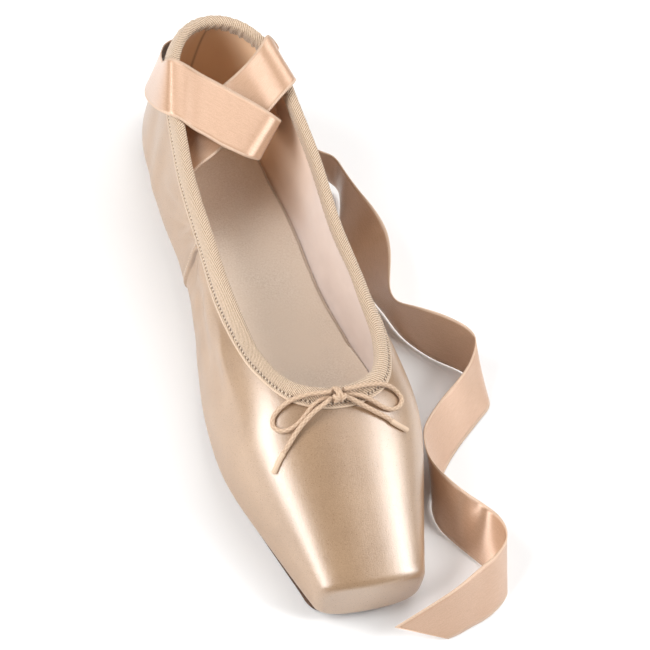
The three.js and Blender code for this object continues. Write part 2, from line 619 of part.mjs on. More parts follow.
const OUTER_TAIL = [
  { x: 25, y: 141.5, z: 28.5, x2: 29.5, y2: 143, z2: 7.5 },
  { x: 33, y: 127, z: 26, x2: 40, y2: 127, z2: 5.5 },
  { x: 39.5, y: 106.5, z: 23.5, x2: 49.5, y2: 103.5, z2: 4 },
  { x: 46.5, y: 102.5, z: 23, x2: 53, y2: 100, z2: 2.5 },
  { x: 48.5, y: 94.5, z: 23, x2: 52, y2: 93, z2: 1.5 },
  { x: 51, y: 85, z: 23, x2: 49, y2: 85, z2: 1 },
  { x: 56, y: 75.5, z: 20.5, x2: 46.5, y2: 76, z2: 0.8 },
  { x: 59, y: 67.5, z: 17.5, x2: 45, y2: 67.5, z2: 0.8 },
  { x: 56, y: 55, z: 19.5, x2: 45, y2: 60.5, z2: 0.8 },
  { x: 51.5, y: 44, z: 20.5, x2: 47, y2: 53, z2: 0.8 },
  { x: 49, y: 37, z: 20.5, x2: 49.5, y2: 47, z2: 0.8 },
  { x: 49.5, y: 31, z: 21, x2: 52.5, y2: 38.5, z2: 0.8 },
  { x: 55.5, y: 26, z: 23, x2: 56, y2: 26.5, z2: 0.8 },
  { x: 66.5, y: 20.5, z: 22, x2: 64.5, y2: 15, z2: 0.8 },
  { x: 74.5, y: 14, z: 21, x2: 75.5, y2: 6, z2: 0.8 },
  { x: 77.5, y: 10.5, z: 18, x2: 81, y2: -2.5, z2: 0.8 },
  { x: 74.5, y: 4.5, z: 15.5, x2: 81, y2: -10.5, z2: 0.8 },
  { x: 67, y: -3.5, z: 17, x2: 74, y2: -16.5, z2: 0.8 },
  { x: 52, y: -15, z: 17, x2: 61.5, y2: -26.5, z2: 0.8 },
  { x: 42.5, y: -24.5, z: 17.5, x2: 53, y2: -34.5, z2: 0.8 },
  { x: 40, y: -30.5, z: 18, x2: 46.5, y2: -42.5, z2: 0.8 },
  { x: 38.5, y: -40.5, z: 20.5, x2: 41, y2: -50, z2: 0.8 },
  { x: 42.5, y: -49, z: 20, x2: 40.5, y2: -59, z2: 0.8 },
  { x: 47, y: -56, z: 20, x2: 44, y2: -66.5, z2: 0.8 },
  { x: 56.5, y: -59, z: 12.5, x2: 50, y2: -76, z2: 0.8 },
  { x: 59.5, y: -67, z: 15, x2: 55, y2: -83.5, z2: 0.8 },
  { x: 58, y: -76, z: 17.5, x2: 58, y2: -90, z2: 0.8 },
  { x: 51.5, y: -82.5, z: 18.5, x2: 54.5, y2: -94.5, z2: 0.8 },
  { x: 43, y: -87, z: 19, x2: 46.5, y2: -99.5, z2: 0.8 },
  { x: 28.5, y: -94.5, z: 19.5, x2: 37, y2: -102.5, z2: 0.8 },
  { x: 18.5, y: -97.5, z: 16.5, x2: 32.5, y2: -104, z2: 0.8 },
  { x: 5, y: -100.5, z: 10, x2: 27.5, y2: -105, z2: 0.8 },
];

// Inner ribbon: sewn inside the left quarter, under the outer one, over the right topline, round the heel
const INNER_ACROSS = [
  { x: -22.6, y: 108.5, z: 36, x2: -23.8, y2: 88, z2: 33 },
  { x: -20, y: 110, z: 42, x2: -22, y2: 90, z2: 38.5 },
  { x: -16.5, y: 112.3, z: 46, x2: -18.5, y2: 91.5, z2: 42 },
  { x: -10.9, y: 116, z: 49.5, x2: -12.1, y2: 94, z2: 44.8 },
  { x: -3.5, y: 120.5, z: 52, x2: -5, y2: 98, z2: 46.8 },
  { x: 3, y: 124, z: 54, x2: 3.5, y2: 101.5, z2: 49 },
  { x: 8, y: 126.5, z: 57, x2: 12.5, y2: 106, z2: 52 },
  { x: 12.2, y: 129, z: 60.5, x2: 17.4, y2: 109, z2: 56 },
  { x: 15.5, y: 131.5, z: 63.2, x2: 21, y2: 111, z2: 58.6 },
  { x: 19, y: 135.5, z: 63.6, x2: 25.8, y2: 115, z2: 59 },
];
const INNER_ROUND_HEEL = [
  { side: 1, share: 0.13, top: 1.5, bottom: 23, over: 3.5 },
  { side: 1, share: 0.09, top: 8, bottom: 30, over: 2.5 },
  { side: 1, share: 0.045, top: 15, bottom: 37, over: 1.6 },
  { side: 1, share: 0.005, top: 22, bottom: 43, over: 1.4 },
  { side: -1, share: 0.035, top: 26, bottom: 46, over: 1.4 },
];

// Bow: cords laid over the vamp, each row a place and the cord's height over the satin
function vampHeight(x, y) {
  const t = LENGTH - BALL_FROM_TOE - y;
  let inside = 10;
  let outside = 90;
  for (let i = 0; i < 24; i++) {
    const middle = (inside + outside) / 2;
    if (lastDistance(x, t, middle) < 0) inside = middle;
    else outside = middle;
  }
  return inside;
}
const onVamp = (row) => new THREE.Vector3(row.x, row.y, vampHeight(row.x, row.y) + row.over);
function cord(rows, step = 2.6) {
  const path = new THREE.CatmullRomCurve3(rows.map(onVamp), false, "centripetal");
  const steps = Math.round(path.getLength() / step);
  const frames = path.computeFrenetFrames(steps, false);
  const sides = 8;
  return sweep(frames.tangents.map((_, i) => {
    const centre = path.getPointAt(i / steps);
    return Array.from({ length: sides }, (__, k) => {
      const turn = (2 * Math.PI * (k + 0.5)) / sides;
      return centre.clone()
        .addScaledVector(frames.normals[i], (Math.cos(turn) * CORD) / 2)
        .addScaledVector(frames.binormals[i], (Math.sin(turn) * CORD) / 2);
    });
  }), false);
}
const LOOP_LEFT = [
  { x: -5.1, y: -23.2, over: 4.4 },
  { x: -8.8, y: -22.8, over: 4.1 },
  { x: -12.4, y: -22, over: 3.4 },
  { x: -16.2, y: -21.8, over: 2.9 },
  { x: -20.1, y: -22, over: 2.4 },
  { x: -24.1, y: -23.3, over: 1.4 },
  { x: -26.3, y: -25.3, over: 1.35 },
  { x: -26.7, y: -27.8, over: 1.35 },
  { x: -24.9, y: -30.2, over: 1.35 },
  { x: -22.1, y: -31, over: 1.35 },
  { x: -18.9, y: -30.3, over: 1.4 },
  { x: -15.8, y: -28.5, over: 1.6 },
  { x: -12.4, y: -26, over: 2.4 },
  { x: -10.2, y: -24.9, over: 2.45 },
  { x: -7.7, y: -24.2, over: 2.5 },
  { x: -5.5, y: -23.9, over: 2.6 },
];
const LOOP_RIGHT = [
  { x: -0, y: -23.1, over: 4.4 },
  { x: 3.9, y: -22.8, over: 4.1 },
  { x: 8.1, y: -22.1, over: 3.4 },
  { x: 12.3, y: -21.7, over: 2.85 },
  { x: 16.5, y: -21.7, over: 2.85 },
  { x: 20.6, y: -22.3, over: 2.1 },
  { x: 23.5, y: -23.7, over: 1.35 },
  { x: 24.8, y: -26, over: 1.35 },
  { x: 23, y: -28.7, over: 1.35 },
  { x: 19.6, y: -30.1, over: 1.35 },
  { x: 16, y: -29.7, over: 1.4 },
  { x: 12, y: -27.7, over: 2 },
  { x: 8.4, y: -26, over: 2.65 },
  { x: 5.2, y: -24.8, over: 2.5 },
  { x: 1.9, y: -24, over: 2.55 },
  { x: 0.2, y: -23.8, over: 2.6 },
];
const END_LEFT = [
  { x: -5.3, y: -25.4, over: 4.2 },
  { x: -7.2, y: -26.3, over: 4.1 },
  { x: -9, y: -27.1, over: 3.9 },
  { x: -12.4, y: -28.5, over: 3.6 },
  { x: -15.8, y: -30.4, over: 3.2 },
  { x: -19.4, y: -32.7, over: 2.4 },
  { x: -22.6, y: -35.5, over: 1.7 },
  { x: -25.7, y: -38.1, over: 1.35 },
  { x: -27, y: -39.4, over: 1.35 },
  { x: -29.2, y: -42.3, over: 1.35 },
];
const END_RIGHT = [
  { x: -0.4, y: -25.4, over: 4.2 },
  { x: 0.8, y: -25.9, over: 4 },
  { x: 2.8, y: -26.7, over: 3.6 },
  { x: 7.6, y: -29.1, over: 2.4 },
  { x: 11.9, y: -31.2, over: 1.6 },
  { x: 16.4, y: -33.5, over: 1.4 },
  { x: 19.2, y: -35.3, over: 1.35 },
  { x: 24.3, y: -37.3, over: 1.35 },
];
const KNOT = { x: -2.7, y: -24.4, over: 3.9 };
const knot = new THREE.SphereGeometry(1, 12, 8);
knot.scale(2.1, 2.6, 2.1);
const knotPlace = onVamp(KNOT);
knot.rotateX(-0.35);
knot.translate(knotPlace.x, knotPlace.y, knotPlace.z);

const satin = new THREE.MeshStandardMaterial({ color: 0xd9c0a0, roughness: 0.35, metalness: 0 });
const tape = new THREE.MeshStandardMaterial({ color: 0xd3b796, roughness: 0.8, metalness: 0 });
const leather = new THREE.MeshStandardMaterial({ color: 0x6b4a32, roughness: 0.7, metalness: 0 });
const ribbonSatin = new THREE.MeshStandardMaterial({ color: 0xc9a27f, roughness: 0.35, metalness: 0 });
const cotton = new THREE.MeshStandardMaterial({ color: 0xcfae8c, roughness: 0.8, metalness: 0 });
const lining = new THREE.MeshStandardMaterial({ color: 0xc8b5a3, roughness: 0.9, metalness: 0 });

const shoe = new THREE.Group();
function add(name, geometry, material) {
  const mesh = new THREE.Mesh(geometry, material);
  mesh.name = name;
  shoe.add(mesh);
}
const upperRing = ring(upperShares);
const plateRing = ring(upperShares.filter((share, i) => i % 2 === 0 || share > 0.9 || i === upperShares.length - 1));
add("upper", sweep(upperRing.map(upperSection), true), satin);
add("outsole", plate(plateRing.map(outsoleSection)), leather);
add("insole", plate(plateRing.map(insoleSection)), lining);
add("binding", sweep(upperRing.map(bindingSection), true), tape);
const outerRows = [...OUTER_ACROSS.map(free), ...OUTER_ROUND_HEEL.map(hugging), ...OUTER_TAIL.map(free)];
add("outer_ribbon", strip(outerRows, 3), ribbonSatin);
add("inner_ribbon", strip([...INNER_ACROSS.map(free), ...INNER_ROUND_HEEL.map(hugging)], 3), ribbonSatin);
add("bow_knot", knot, cotton);
add("bow_loop_left", cord(LOOP_LEFT), cotton);
add("bow_loop_right", cord(LOOP_RIGHT), cotton);
add("bow_end_left", cord(END_LEFT), cotton);
add("bow_end_right", cord(END_RIGHT), cotton);

export default shoe;
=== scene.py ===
"""A pointe shoe: satin upper with its lining, insole, leather sole, bound collar with a drawstring bow,
and two satin ribbons, on a pale floor. Shapes are worked out in millimetres, in the shoe's own frame."""
import math

import bpy
import numpy as np
from mathutils import Matrix, Quaternion, Vector


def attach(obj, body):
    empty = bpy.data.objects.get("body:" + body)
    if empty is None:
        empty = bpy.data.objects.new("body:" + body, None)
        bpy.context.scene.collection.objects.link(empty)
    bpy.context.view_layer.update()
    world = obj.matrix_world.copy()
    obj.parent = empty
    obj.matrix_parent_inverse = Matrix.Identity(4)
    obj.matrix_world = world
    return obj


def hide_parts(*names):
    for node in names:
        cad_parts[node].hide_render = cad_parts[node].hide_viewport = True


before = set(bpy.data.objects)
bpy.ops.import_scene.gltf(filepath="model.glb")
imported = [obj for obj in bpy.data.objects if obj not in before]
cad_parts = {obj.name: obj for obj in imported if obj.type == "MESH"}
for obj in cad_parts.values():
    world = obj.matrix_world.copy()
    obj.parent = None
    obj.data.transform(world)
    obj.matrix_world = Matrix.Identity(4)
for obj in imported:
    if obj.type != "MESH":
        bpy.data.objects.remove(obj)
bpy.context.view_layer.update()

MM = 0.001

# Driving sizes of the last, the same as in the part's source
LENGTH = 246.0
BALL_WIDTH = 78.0
WAIST_WIDTH = 58.5
HEEL_WIDTH = 53.0
PLATFORM_WIDTH = 40.0
PLATFORM_HEIGHT = 18.5
PLATFORM_BOW = 2.6
PLATFORM_TILT = 2.0
BALL_FROM_TOE = 90.0
VAMP_LENGTH = 69.0
THROAT_HEIGHT = 50.0
COLLAR_HEEL_HEIGHT = 60.0
COLLAR_SIDE_HEIGHT = 45.0
HEEL_LEAN = 1.0
ARCH_RISE = 3.5
TOE_SPRING = 1.2
SOLE_THICKNESS = 2.6
QUARTER_WALL = 1.6
BOX_WALL = 3.0
INSOLE_THICKNESS = 2.2
SEAM_STEP = 0.6
BINDING_WIDTH = 7.2
BINDING_THICKNESS = 1.0
BINDING_INSIDE = 6.0
RIBBON_WIDTH = 22.0
RIBBON_CLOTH = 0.35
CORD = 1.75
GAP = 0.3


def lerp(a, b, u):
    return a + (b - a) * u


def smoothstep(x, low, high):
    u = np.clip((x - low) / (high - low), 0.0, 1.0)
    return u * u * (3 - 2 * u)


def bell(x, width):
    """A smooth bump, 1 high at 0."""
    return np.exp(-((x / width) ** 2))


def curve(rows, column=1):
    """A smooth function through a column of a table whose first column is a share of the length."""
    table = np.array(rows, float)
    at, value = table[:, 0], table[:, column]
    last = len(rows) - 1
    before = np.maximum(np.arange(last + 1) - 1, 0)
    after = np.minimum(np.arange(last + 1) + 1, last)
    slope = (value[after] - value[before]) / (at[after] - at[before])

    def height(share):
        s = np.clip(share, at[0], at[last])
        i = np.clip(np.searchsorted(at, s, side="left") - 1, 0, last - 1)
        span = at[i + 1] - at[i]
        u = (s - at[i]) / span
        rise = value[i + 1] - value[i]
        a = slope[i] * span - rise
        b = rise - slope[i + 1] * span
        return value[i] + u * rise + u * (1 - u) * ((1 - u) * a + u * b)

    return height


# The last, by sections from the heel (0) to the platform (1). Rows: share of the length, half its width,
# the height of its widest line above the underside, and the height of its top
UNDERSIDE = SOLE_THICKNESS + GAP * 1.5
PLATFORM_TOP = UNDERSIDE + PLATFORM_HEIGHT
THROAT = 1 - VAMP_LENGTH / LENGTH
BALL = 1 - BALL_FROM_TOE / LENGTH
VAMP_RISE = THROAT_HEIGHT - PLATFORM_TOP
SECTIONS = [
    (0.0, HEEL_WIDTH * 0.49, 17, THROAT_HEIGHT * 1.62),
    (0.14, HEEL_WIDTH * 0.5, 18, THROAT_HEIGHT * 1.64),
    (0.28, WAIST_WIDTH * 0.495, 18, THROAT_HEIGHT * 1.5),
    (0.42, WAIST_WIDTH * 0.5, 17, THROAT_HEIGHT * 1.26),
    (0.54, BALL_WIDTH * 0.437, 14, THROAT_HEIGHT * 1.075),
    (0.63, BALL_WIDTH * 0.488, 12, THROAT_HEIGHT * 1.025),
    (THROAT, BALL_WIDTH * 0.502, 11, THROAT_HEIGHT * 0.985),
    (0.78, BALL_WIDTH * 0.473, 10, PLATFORM_TOP + VAMP_RISE * 0.8),
    (0.88, BALL_WIDTH * 0.376, 9, PLATFORM_TOP + VAMP_RISE * 0.45),
    (1.0, PLATFORM_WIDTH * 0.5, 8, PLATFORM_TOP),
]
half_width_of, belly_of, crown_of = (curve(SECTIONS, column) for column in (1, 2, 3))
# Share of the length, and the height of the collar's edge
COLLAR = [
    (0.0, COLLAR_HEEL_HEIGHT),
    (0.08, COLLAR_HEEL_HEIGHT * 0.99),
    (0.22, lerp(COLLAR_SIDE_HEIGHT, COLLAR_HEEL_HEIGHT, 0.45)),
    (0.4, COLLAR_SIDE_HEIGHT),
    (0.54, lerp(COLLAR_SIDE_HEIGHT, THROAT_HEIGHT, -0.05)),
    (0.61, lerp(COLLAR_SIDE_HEIGHT, THROAT_HEIGHT, 0.16)),
    (0.66, lerp(COLLAR_SIDE_HEIGHT, THROAT_HEIGHT, 0.42)),
    (0.69, lerp(COLLAR_SIDE_HEIGHT, THROAT_HEIGHT, 0.64)),
    (THROAT, THROAT_HEIGHT * 0.987),
    (1.0, THROAT_HEIGHT),
]
collar_height_of = curve(COLLAR)
# Share of the length, and how far the sole's edge is inside the widest line
SOLE_MARGIN = [
    (0.0, 6.5),
    (0.14, 8),
    (0.36, 12.5),
    (0.52, 9.5),
    (BALL, 7.5),
    (0.86, 6.2),
    (0.94, 5.6),
    (0.975, 4.4),
    (1.0, 0.6),
]
sole_margin_of = curve(SOLE_MARGIN)
UPPER_ROUNDNESS = 2.5
LOWER_ROUNDNESS = 5.0
HEEL_ROUND = 38.0
HEEL_ROUNDNESS = 2.08
CENTRE_HEIGHT = 13.0
TURNED_UNDER = 5.0
LEAN_FROM = 18.0
LEAN_OVER = 40.0
CORNER_BELOW = 2.0
CORNER_ABOVE = 2.4


def lift(t):
    """How far the sole is off the floor: the arch, and the toe spring."""
    arch = smoothstep(t, LENGTH * 0.2, LENGTH * 0.36) * (1 - smoothstep(t, LENGTH * 0.38, LENGTH * 0.56))
    spring = np.maximum(0, (t / LENGTH - 0.86) / 0.14)
    return ARCH_RISE * arch + TOE_SPRING * spring * spring


def last_distance(x, t, z):
    """Distance from the last's surface, under 0 inside. t runs from the back of the heel to the toe."""
    lean_height = np.maximum(0, z - LEAN_FROM) / LEAN_OVER
    back = t - HEEL_LEAN * lean_height**2 * (1 - smoothstep(t, 20, 90))
    share = back / LENGTH
    under = UNDERSIDE + lift(t)
    widest = under + belly_of(share)
    above = z >= widest
    reach = np.where(above, crown_of(share) - widest, widest - under)
    power = np.where(above, UPPER_ROUNDNESS, LOWER_ROUNDNESS)
    behind = np.maximum(0, HEEL_ROUND - back)
    plan = (
        (np.abs(x) / half_width_of(share)) ** HEEL_ROUNDNESS + (behind / HEEL_ROUND) ** HEEL_ROUNDNESS
    ) ** (1 / HEEL_ROUNDNESS)
    norm = (plan**power + (np.abs(z - widest) / reach) ** power) ** (1 / power)
    section = np.sqrt(x * x + (z - widest) ** 2 + behind * behind) * (1 - 1 / np.maximum(norm, 0.02))
    front = (
        LENGTH
        - PLATFORM_BOW * (x / (PLATFORM_WIDTH / 2)) ** 2
        - PLATFORM_TILT * np.maximum(0, (z - under) / PLATFORM_HEIGHT)
    )
    platform = t - front
    corner = lerp(CORNER_BELOW, CORNER_ABOVE, smoothstep(z, under + 1, under + 9))
    a = np.maximum(section + corner, 0)
    b = np.maximum(platform + corner, 0)
    return np.minimum(np.maximum(section, platform), -corner) + np.hypot(a, b)


def distance_at(p):
    """The same distance for points (..., 3) of x, t and z."""
    return last_distance(p[..., 0], p[..., 1], p[..., 2])


def unit(v):
    return v / np.maximum(np.linalg.norm(v, axis=-1, keepdims=True), 1e-12)


def last_normal(p):
    """Outward directions of the last's surface at points (..., 3) of x, t and z."""
    steps = 0.02 * np.eye(3)
    return unit(np.stack([distance_at(p + step) - distance_at(p - step) for step in steps], axis=-1))


def narrowed(holds, near, far, steps=24):
    """The last place where a test holds and the first where it doesn't, between near and far."""
    for _ in range(steps):
        middle = (near + far) / 2
        here = holds(middle)
        near, far = np.where(here, middle, near), np.where(here, far, middle)
    return near, far


def distances(line):
    """The way along a row of points."""
    return np.concatenate([[0], np.cumsum(np.linalg.norm(np.diff(line, axis=0), axis=1))])


# The upper's profiles stand in upright planes that fan out from a spine inside the shoe. Rows: the place q,
# the plane's angle, and where on the spine it stands
SPINE_BACK = 32.0
SPINE_FRONT = LENGTH * 0.466
FAN = np.array([(0, 0, SPINE_BACK), (0.25, 78, SPINE_BACK), (0.5, 95, SPINE_FRONT), (1, 180, SPINE_FRONT)])
RAY_END = 160.0
WALL_END = 14.0


class Fan:
    """The planes at places q, from 0 at the heel to 1 at the toe."""

    def __init__(self, q):
        at, angle, spine = FAN.T
        angle = np.radians(np.interp(q, at, angle))
        self.spine = np.interp(q, at, spine)
        self.sideways = np.sin(angle)
        self.forwards = -np.cos(angle)

    def point(self, r, z):
        """x, t, z of a place r out from the spine at height z; r may have a row for each plane."""
        spine, sideways, forwards = self.spine, self.sideways, self.forwards
        if np.ndim(r) == 2:
            spine, sideways, forwards = spine[:, None], sideways[:, None], forwards[:, None]
        r, z = np.broadcast_arrays(r, z)
        return np.stack(np.broadcast_arrays(sideways * r, spine + forwards * r, z), axis=-1)

    def reach(self, p):
        """How far out from the spine points are, one row of them for each plane."""
        ahead = p[..., 1] - self.spine[:, None]
        return p[..., 0] * self.sideways[:, None] + ahead * self.forwards[:, None]

    def ray(self, r, z, dr, dz):
        """Distance from (r, z) to the last's surface along a direction in the plane."""

        def inside(way):
            return distance_at(self.point(r + dr * way, z + dz * way)) < 0

        start = np.zeros(np.broadcast(r, dr).shape)
        return narrowed(inside, start, start + RAY_END, 26)[0]


def outline():
    """Places q, and the way round the widest line to each of them."""
    q = np.linspace(0, 1, 481)
    fan = Fan(q)
    return q, distances(fan.point(fan.ray(0.0, CENTRE_HEIGHT, 1.0, 0.0), CENTRE_HEIGHT))


OUTLINE_Q, OUTLINE_WAY = outline()
SIDE_LENGTH = OUTLINE_WAY[-1]


def fan_at(shares):
    """The planes at shares of the way round one side."""
    return Fan(np.interp(shares * SIDE_LENGTH, OUTLINE_WAY, OUTLINE_Q))


def wall_at(t, depth):
    """The wall: thin at the collar and the quarters, stiff and thick in the box."""
    box = smoothstep(t, LENGTH * 0.5, LENGTH * 0.68)
    return lerp(QUARTER_WALL, BOX_WALL, box * smoothstep(depth, BINDING_WIDTH, BINDING_WIDTH + 14))


class Skin:
    """One side's profiles, from the sole's opening up to the collar, at shares 0 (heel) to 1 (toe)."""

    RAYS = 300
    SAMPLES = 500

    def __init__(self, shares):
        self.shares = shares
        self.fan = fan_at(shares)
        self.widest = self.fan.ray(np.zeros(len(shares)), CENTRE_HEIGHT, 1.0, 0.0)
        self.centre = np.maximum(self.widest * 0.55, self.widest - 32)
        edge = self.fan.spine + self.fan.forwards * self.widest
        self.sole_reach = self.widest - sole_margin_of(edge / LENGTH)
        self.opening = self.sole_reach - TURNED_UNDER
        angle = np.radians(np.linspace(-140, 165, self.RAYS + 1))[None, :]
        centre = self.centre[:, None]
        s = self.fan.ray(centre, CENTRE_HEIGHT, np.cos(angle), np.sin(angle))
        r = centre + np.cos(angle) * s
        z = CENTRE_HEIGHT + np.sin(angle) * s
        t = self.fan.point(r, z)[..., 1]
        self.r = np.zeros((len(shares), self.SAMPLES))
        self.z = np.zeros_like(self.r)
        self.length = np.zeros(len(shares))
        for i in range(len(shares)):
            self._cut(i, r[i], z[i], z[i] - collar_height_of(t[i] / LENGTH))

    def _cut(self, i, r, z, over):
        """Cuts a traced ring at the sole's opening and at the collar, and spaces it evenly."""
        first = int(np.argmax(r > self.opening[i]))
        past = first + 1 + int(np.argmax(over[first + 1 :] > 0))
        a = (self.opening[i] - r[first - 1]) / (r[first] - r[first - 1])
        b = -over[past - 1] / (over[past] - over[past - 1])
        ring = np.stack([r, z], axis=1)
        start = lerp(ring[first - 1], ring[first], a)
        end = lerp(ring[past - 1], ring[past], b)
        line = np.concatenate([[start], ring[first:past], [end]])
        along = distances(line)
        even = np.linspace(0, along[-1], self.SAMPLES)
        self.r[i] = np.interp(even, along, line[:, 0])
        self.z[i] = np.interp(even, along, line[:, 1])
        self.length[i] = along[-1]

    def sample(self, i, distance):
        """x, t, z on profiles i, at distances from their starts."""
        place = np.clip(distance / self.length[i], 0, 1) * (self.SAMPLES - 1)
        k = np.minimum(place.astype(int), self.SAMPLES - 2)
        u = place - k
        r = lerp(self.r[i, k], self.r[i, k + 1], u)
        z = lerp(self.z[i, k], self.z[i, k + 1], u)
        fan = self.fan
        return np.stack([fan.sideways[i] * r, fan.spine[i] + fan.forwards[i] * r, z], axis=-1)

    def at(self, share, depth):
        """x, t, z at shares round the side and depths under the collar, following the wall."""
        share, depth = np.broadcast_arrays(np.asarray(share, float), np.asarray(depth, float))
        i = np.clip(np.searchsorted(self.shares, share) - 1, 0, len(self.shares) - 2)
        u = np.clip((share - self.shares[i]) / (self.shares[i + 1] - self.shares[i]), 0, 1)
        a = self.sample(i, self.length[i] - np.maximum(depth, 0))
        b = self.sample(i + 1, self.length[i + 1] - np.maximum(depth, 0))
        return lerp(a, b, u[..., None])

    def over(self, side, share, depth, offset):
        """Points of the part at a height over the satin. Depths under 0 run on past the collar's edge."""
        side, share, depth, offset = np.broadcast_arrays(side, share, depth, offset)
        p = self.at(share, depth)
        q = p + last_normal(p) * offset[..., None]
        rise = unit(self.at(share, 0 * depth) - self.at(share, 0 * depth + 3))
        q = q + rise * np.maximum(-depth, 0)[..., None]
        return to_part(q, side)


def to_part(p, side=1):
    """Points of the part, in millimetres, from x, t and z on the last. side is 1 on +X and -1 on -X."""
    return np.stack([p[..., 0] * side, LENGTH - BALL_FROM_TOE - p[..., 1], p[..., 2]], axis=-1)


CORNER_SHARE = 1 - (PLATFORM_WIDTH * 0.5) / SIDE_LENGTH
SEAM_SHARE = 0.4


def ring_shares(count):
    """Shares of one side, closer together round the heel, at the side seam and at the platform's corner."""
    s = np.linspace(0, 1, 4001)
    density = 1 + 3.2 * bell(s - CORNER_SHARE, 0.03) + 0.6 * bell(s, 0.12) + 7 * bell(s - SEAM_SHARE, 0.006)
    sums = np.concatenate([[0], np.cumsum((density[1:] + density[:-1]) / 2)])
    return np.interp(np.linspace(0, sums[-1], count + 1), sums, s)


skin = Skin(ring_shares(230))


def both_sides(rows):
    """One side's rows made into a ring: the side (1 on +X, -1 on -X) of each, and the rows."""
    side = np.concatenate([np.ones(len(rows)), -np.ones(len(rows) - 2)])
    return side, np.concatenate([rows, rows[-2:0:-1]])


# Meshes


def quads(across, along, wrap):
    """The quads over points[across][along]: their corners' i and j, not wrapped yet, and point numbers."""
    i, j = np.meshgrid(np.arange(across - 1 + wrap[0]), np.arange(along - 1 + wrap[1]), indexing="ij")
    i, j = i.ravel(), j.ravel()
    i, j = np.stack([i, i + 1, i + 1, i], axis=1), np.stack([j, j, j + 1, j + 1], axis=1)
    return i, j, (i % across) * along + j % along


def add_object(name, data):
    made = bpy.data.objects.new(name, data)
    bpy.context.scene.collection.objects.link(made)
    return made


def mesh_object(name, points, faces, uv, materials, material_of=None, shade=None):
    """A smooth mesh whose points are in millimetres. shade is a value from 0 to 1 for each point."""
    data = bpy.data.meshes.new(name)
    data.from_pydata((np.asarray(points) * MM).tolist(), [], [list(map(int, face)) for face in faces])
    if uv is not None:
        layer = data.uv_layers.new(name="cloth")
        layer.data.foreach_set("uv", np.asarray(uv, np.float32).ravel())
    if shade is not None:
        layer = data.attributes.new("shade", "FLOAT", "POINT")
        layer.data.foreach_set("value", np.asarray(shade, np.float32).ravel())
    for item in materials:
        data.materials.append(item)
    if material_of is not None:
        data.polygons.foreach_set("material_index", np.asarray(material_of, np.int32))
    data.polygons.foreach_set("use_smooth", np.ones(len(data.polygons), bool))
    data.update()
    return add_object(name, data)


def looks_inwards(points, faces):
    """Whether the quads look inwards, so that together they enclose a negative volume."""
    a, b, c, d = (points[faces[:, k]] for k in range(4))
    volume = np.einsum("ij,ij->", a, np.cross(b, c)) + np.einsum("ij,ij->", a, np.cross(c, d))
    return volume < 0


def grid_object(name, grid, u, v, materials, wrap=(False, True), material_of_row=None, shade=None):
    """A closed skin over grid[across][along], with caps where it doesn't wrap across; u and v give the
    cloth's own millimetres at its points."""
    across, along = grid.shape[:2]
    gi, gj, faces = quads(across, along, wrap)
    points = grid.reshape(-1, 3)
    u = np.broadcast_to(u, (across + wrap[0], along + wrap[1]))
    v = np.broadcast_to(v, (across + wrap[0], along + wrap[1]))
    uv = np.stack([u[gi, gj], v[gi, gj]], axis=-1)
    material_of = None if material_of_row is None else np.asarray(material_of_row)[gj[:, 0]]
    flip = looks_inwards(points, faces)
    if flip:
        faces = faces[:, ::-1]
        uv = uv[:, ::-1]
    faces = faces.tolist()
    uv = uv.reshape(-1, 2)
    if not wrap[0]:
        start = list(range(along))
        end = [(across - 1) * along + j for j in start]
        faces += [start, end[::-1]] if flip else [start[::-1], end]
        ends = [(u[0, 0], v[0, 0])] * along + [(u[-1, 0], v[-1, 0])] * along
        uv = np.concatenate([uv, np.array(ends)])
    return mesh_object(name, points, faces, uv, materials, material_of, shade)


def spline(points, per_span):
    """A centripetal Catmull-Rom curve through points, with per_span steps between neighbours."""
    p = np.asarray(points, float)
    p = np.concatenate([[2 * p[0] - p[1]], p, [2 * p[-1] - p[-2]]])
    steps = np.maximum(np.linalg.norm(np.diff(p, axis=0), axis=1), 1e-6) ** 0.5
    made = []
    for i in range(1, len(p) - 2):
        t0, t1, t2, t3 = np.concatenate([[0], np.cumsum(steps[i - 1 : i + 2])])
        t = np.linspace(t1, t2, per_span, endpoint=False)[:, None]
        a1 = p[i - 1] + (p[i] - p[i - 1]) * (t - t0) / (t1 - t0)
        a2 = p[i] + (p[i + 1] - p[i]) * (t - t1) / (t2 - t1)
        a3 = p[i + 1] + (p[i + 2] - p[i + 1]) * (t - t2) / (t3 - t2)
        b1 = a1 + (a2 - a1) * (t - t0) / (t2 - t0)
        b2 = a2 + (a3 - a2) * (t - t1) / (t3 - t1)
        made.append(b1 + (b2 - b1) * (t - t1) / (t2 - t1))
    return np.concatenate([*made, [p[-2]]])


def resampled(line, count, extra=()):
    """The line at count even steps; extra rows of values are carried along."""
    way = distances(line)
    even = np.linspace(0, way[-1], count)

    def pick(values):
        return np.stack([np.interp(even, way, column) for column in values.T], axis=1)

    return pick(line), [pick(values) for values in extra]


# Materials


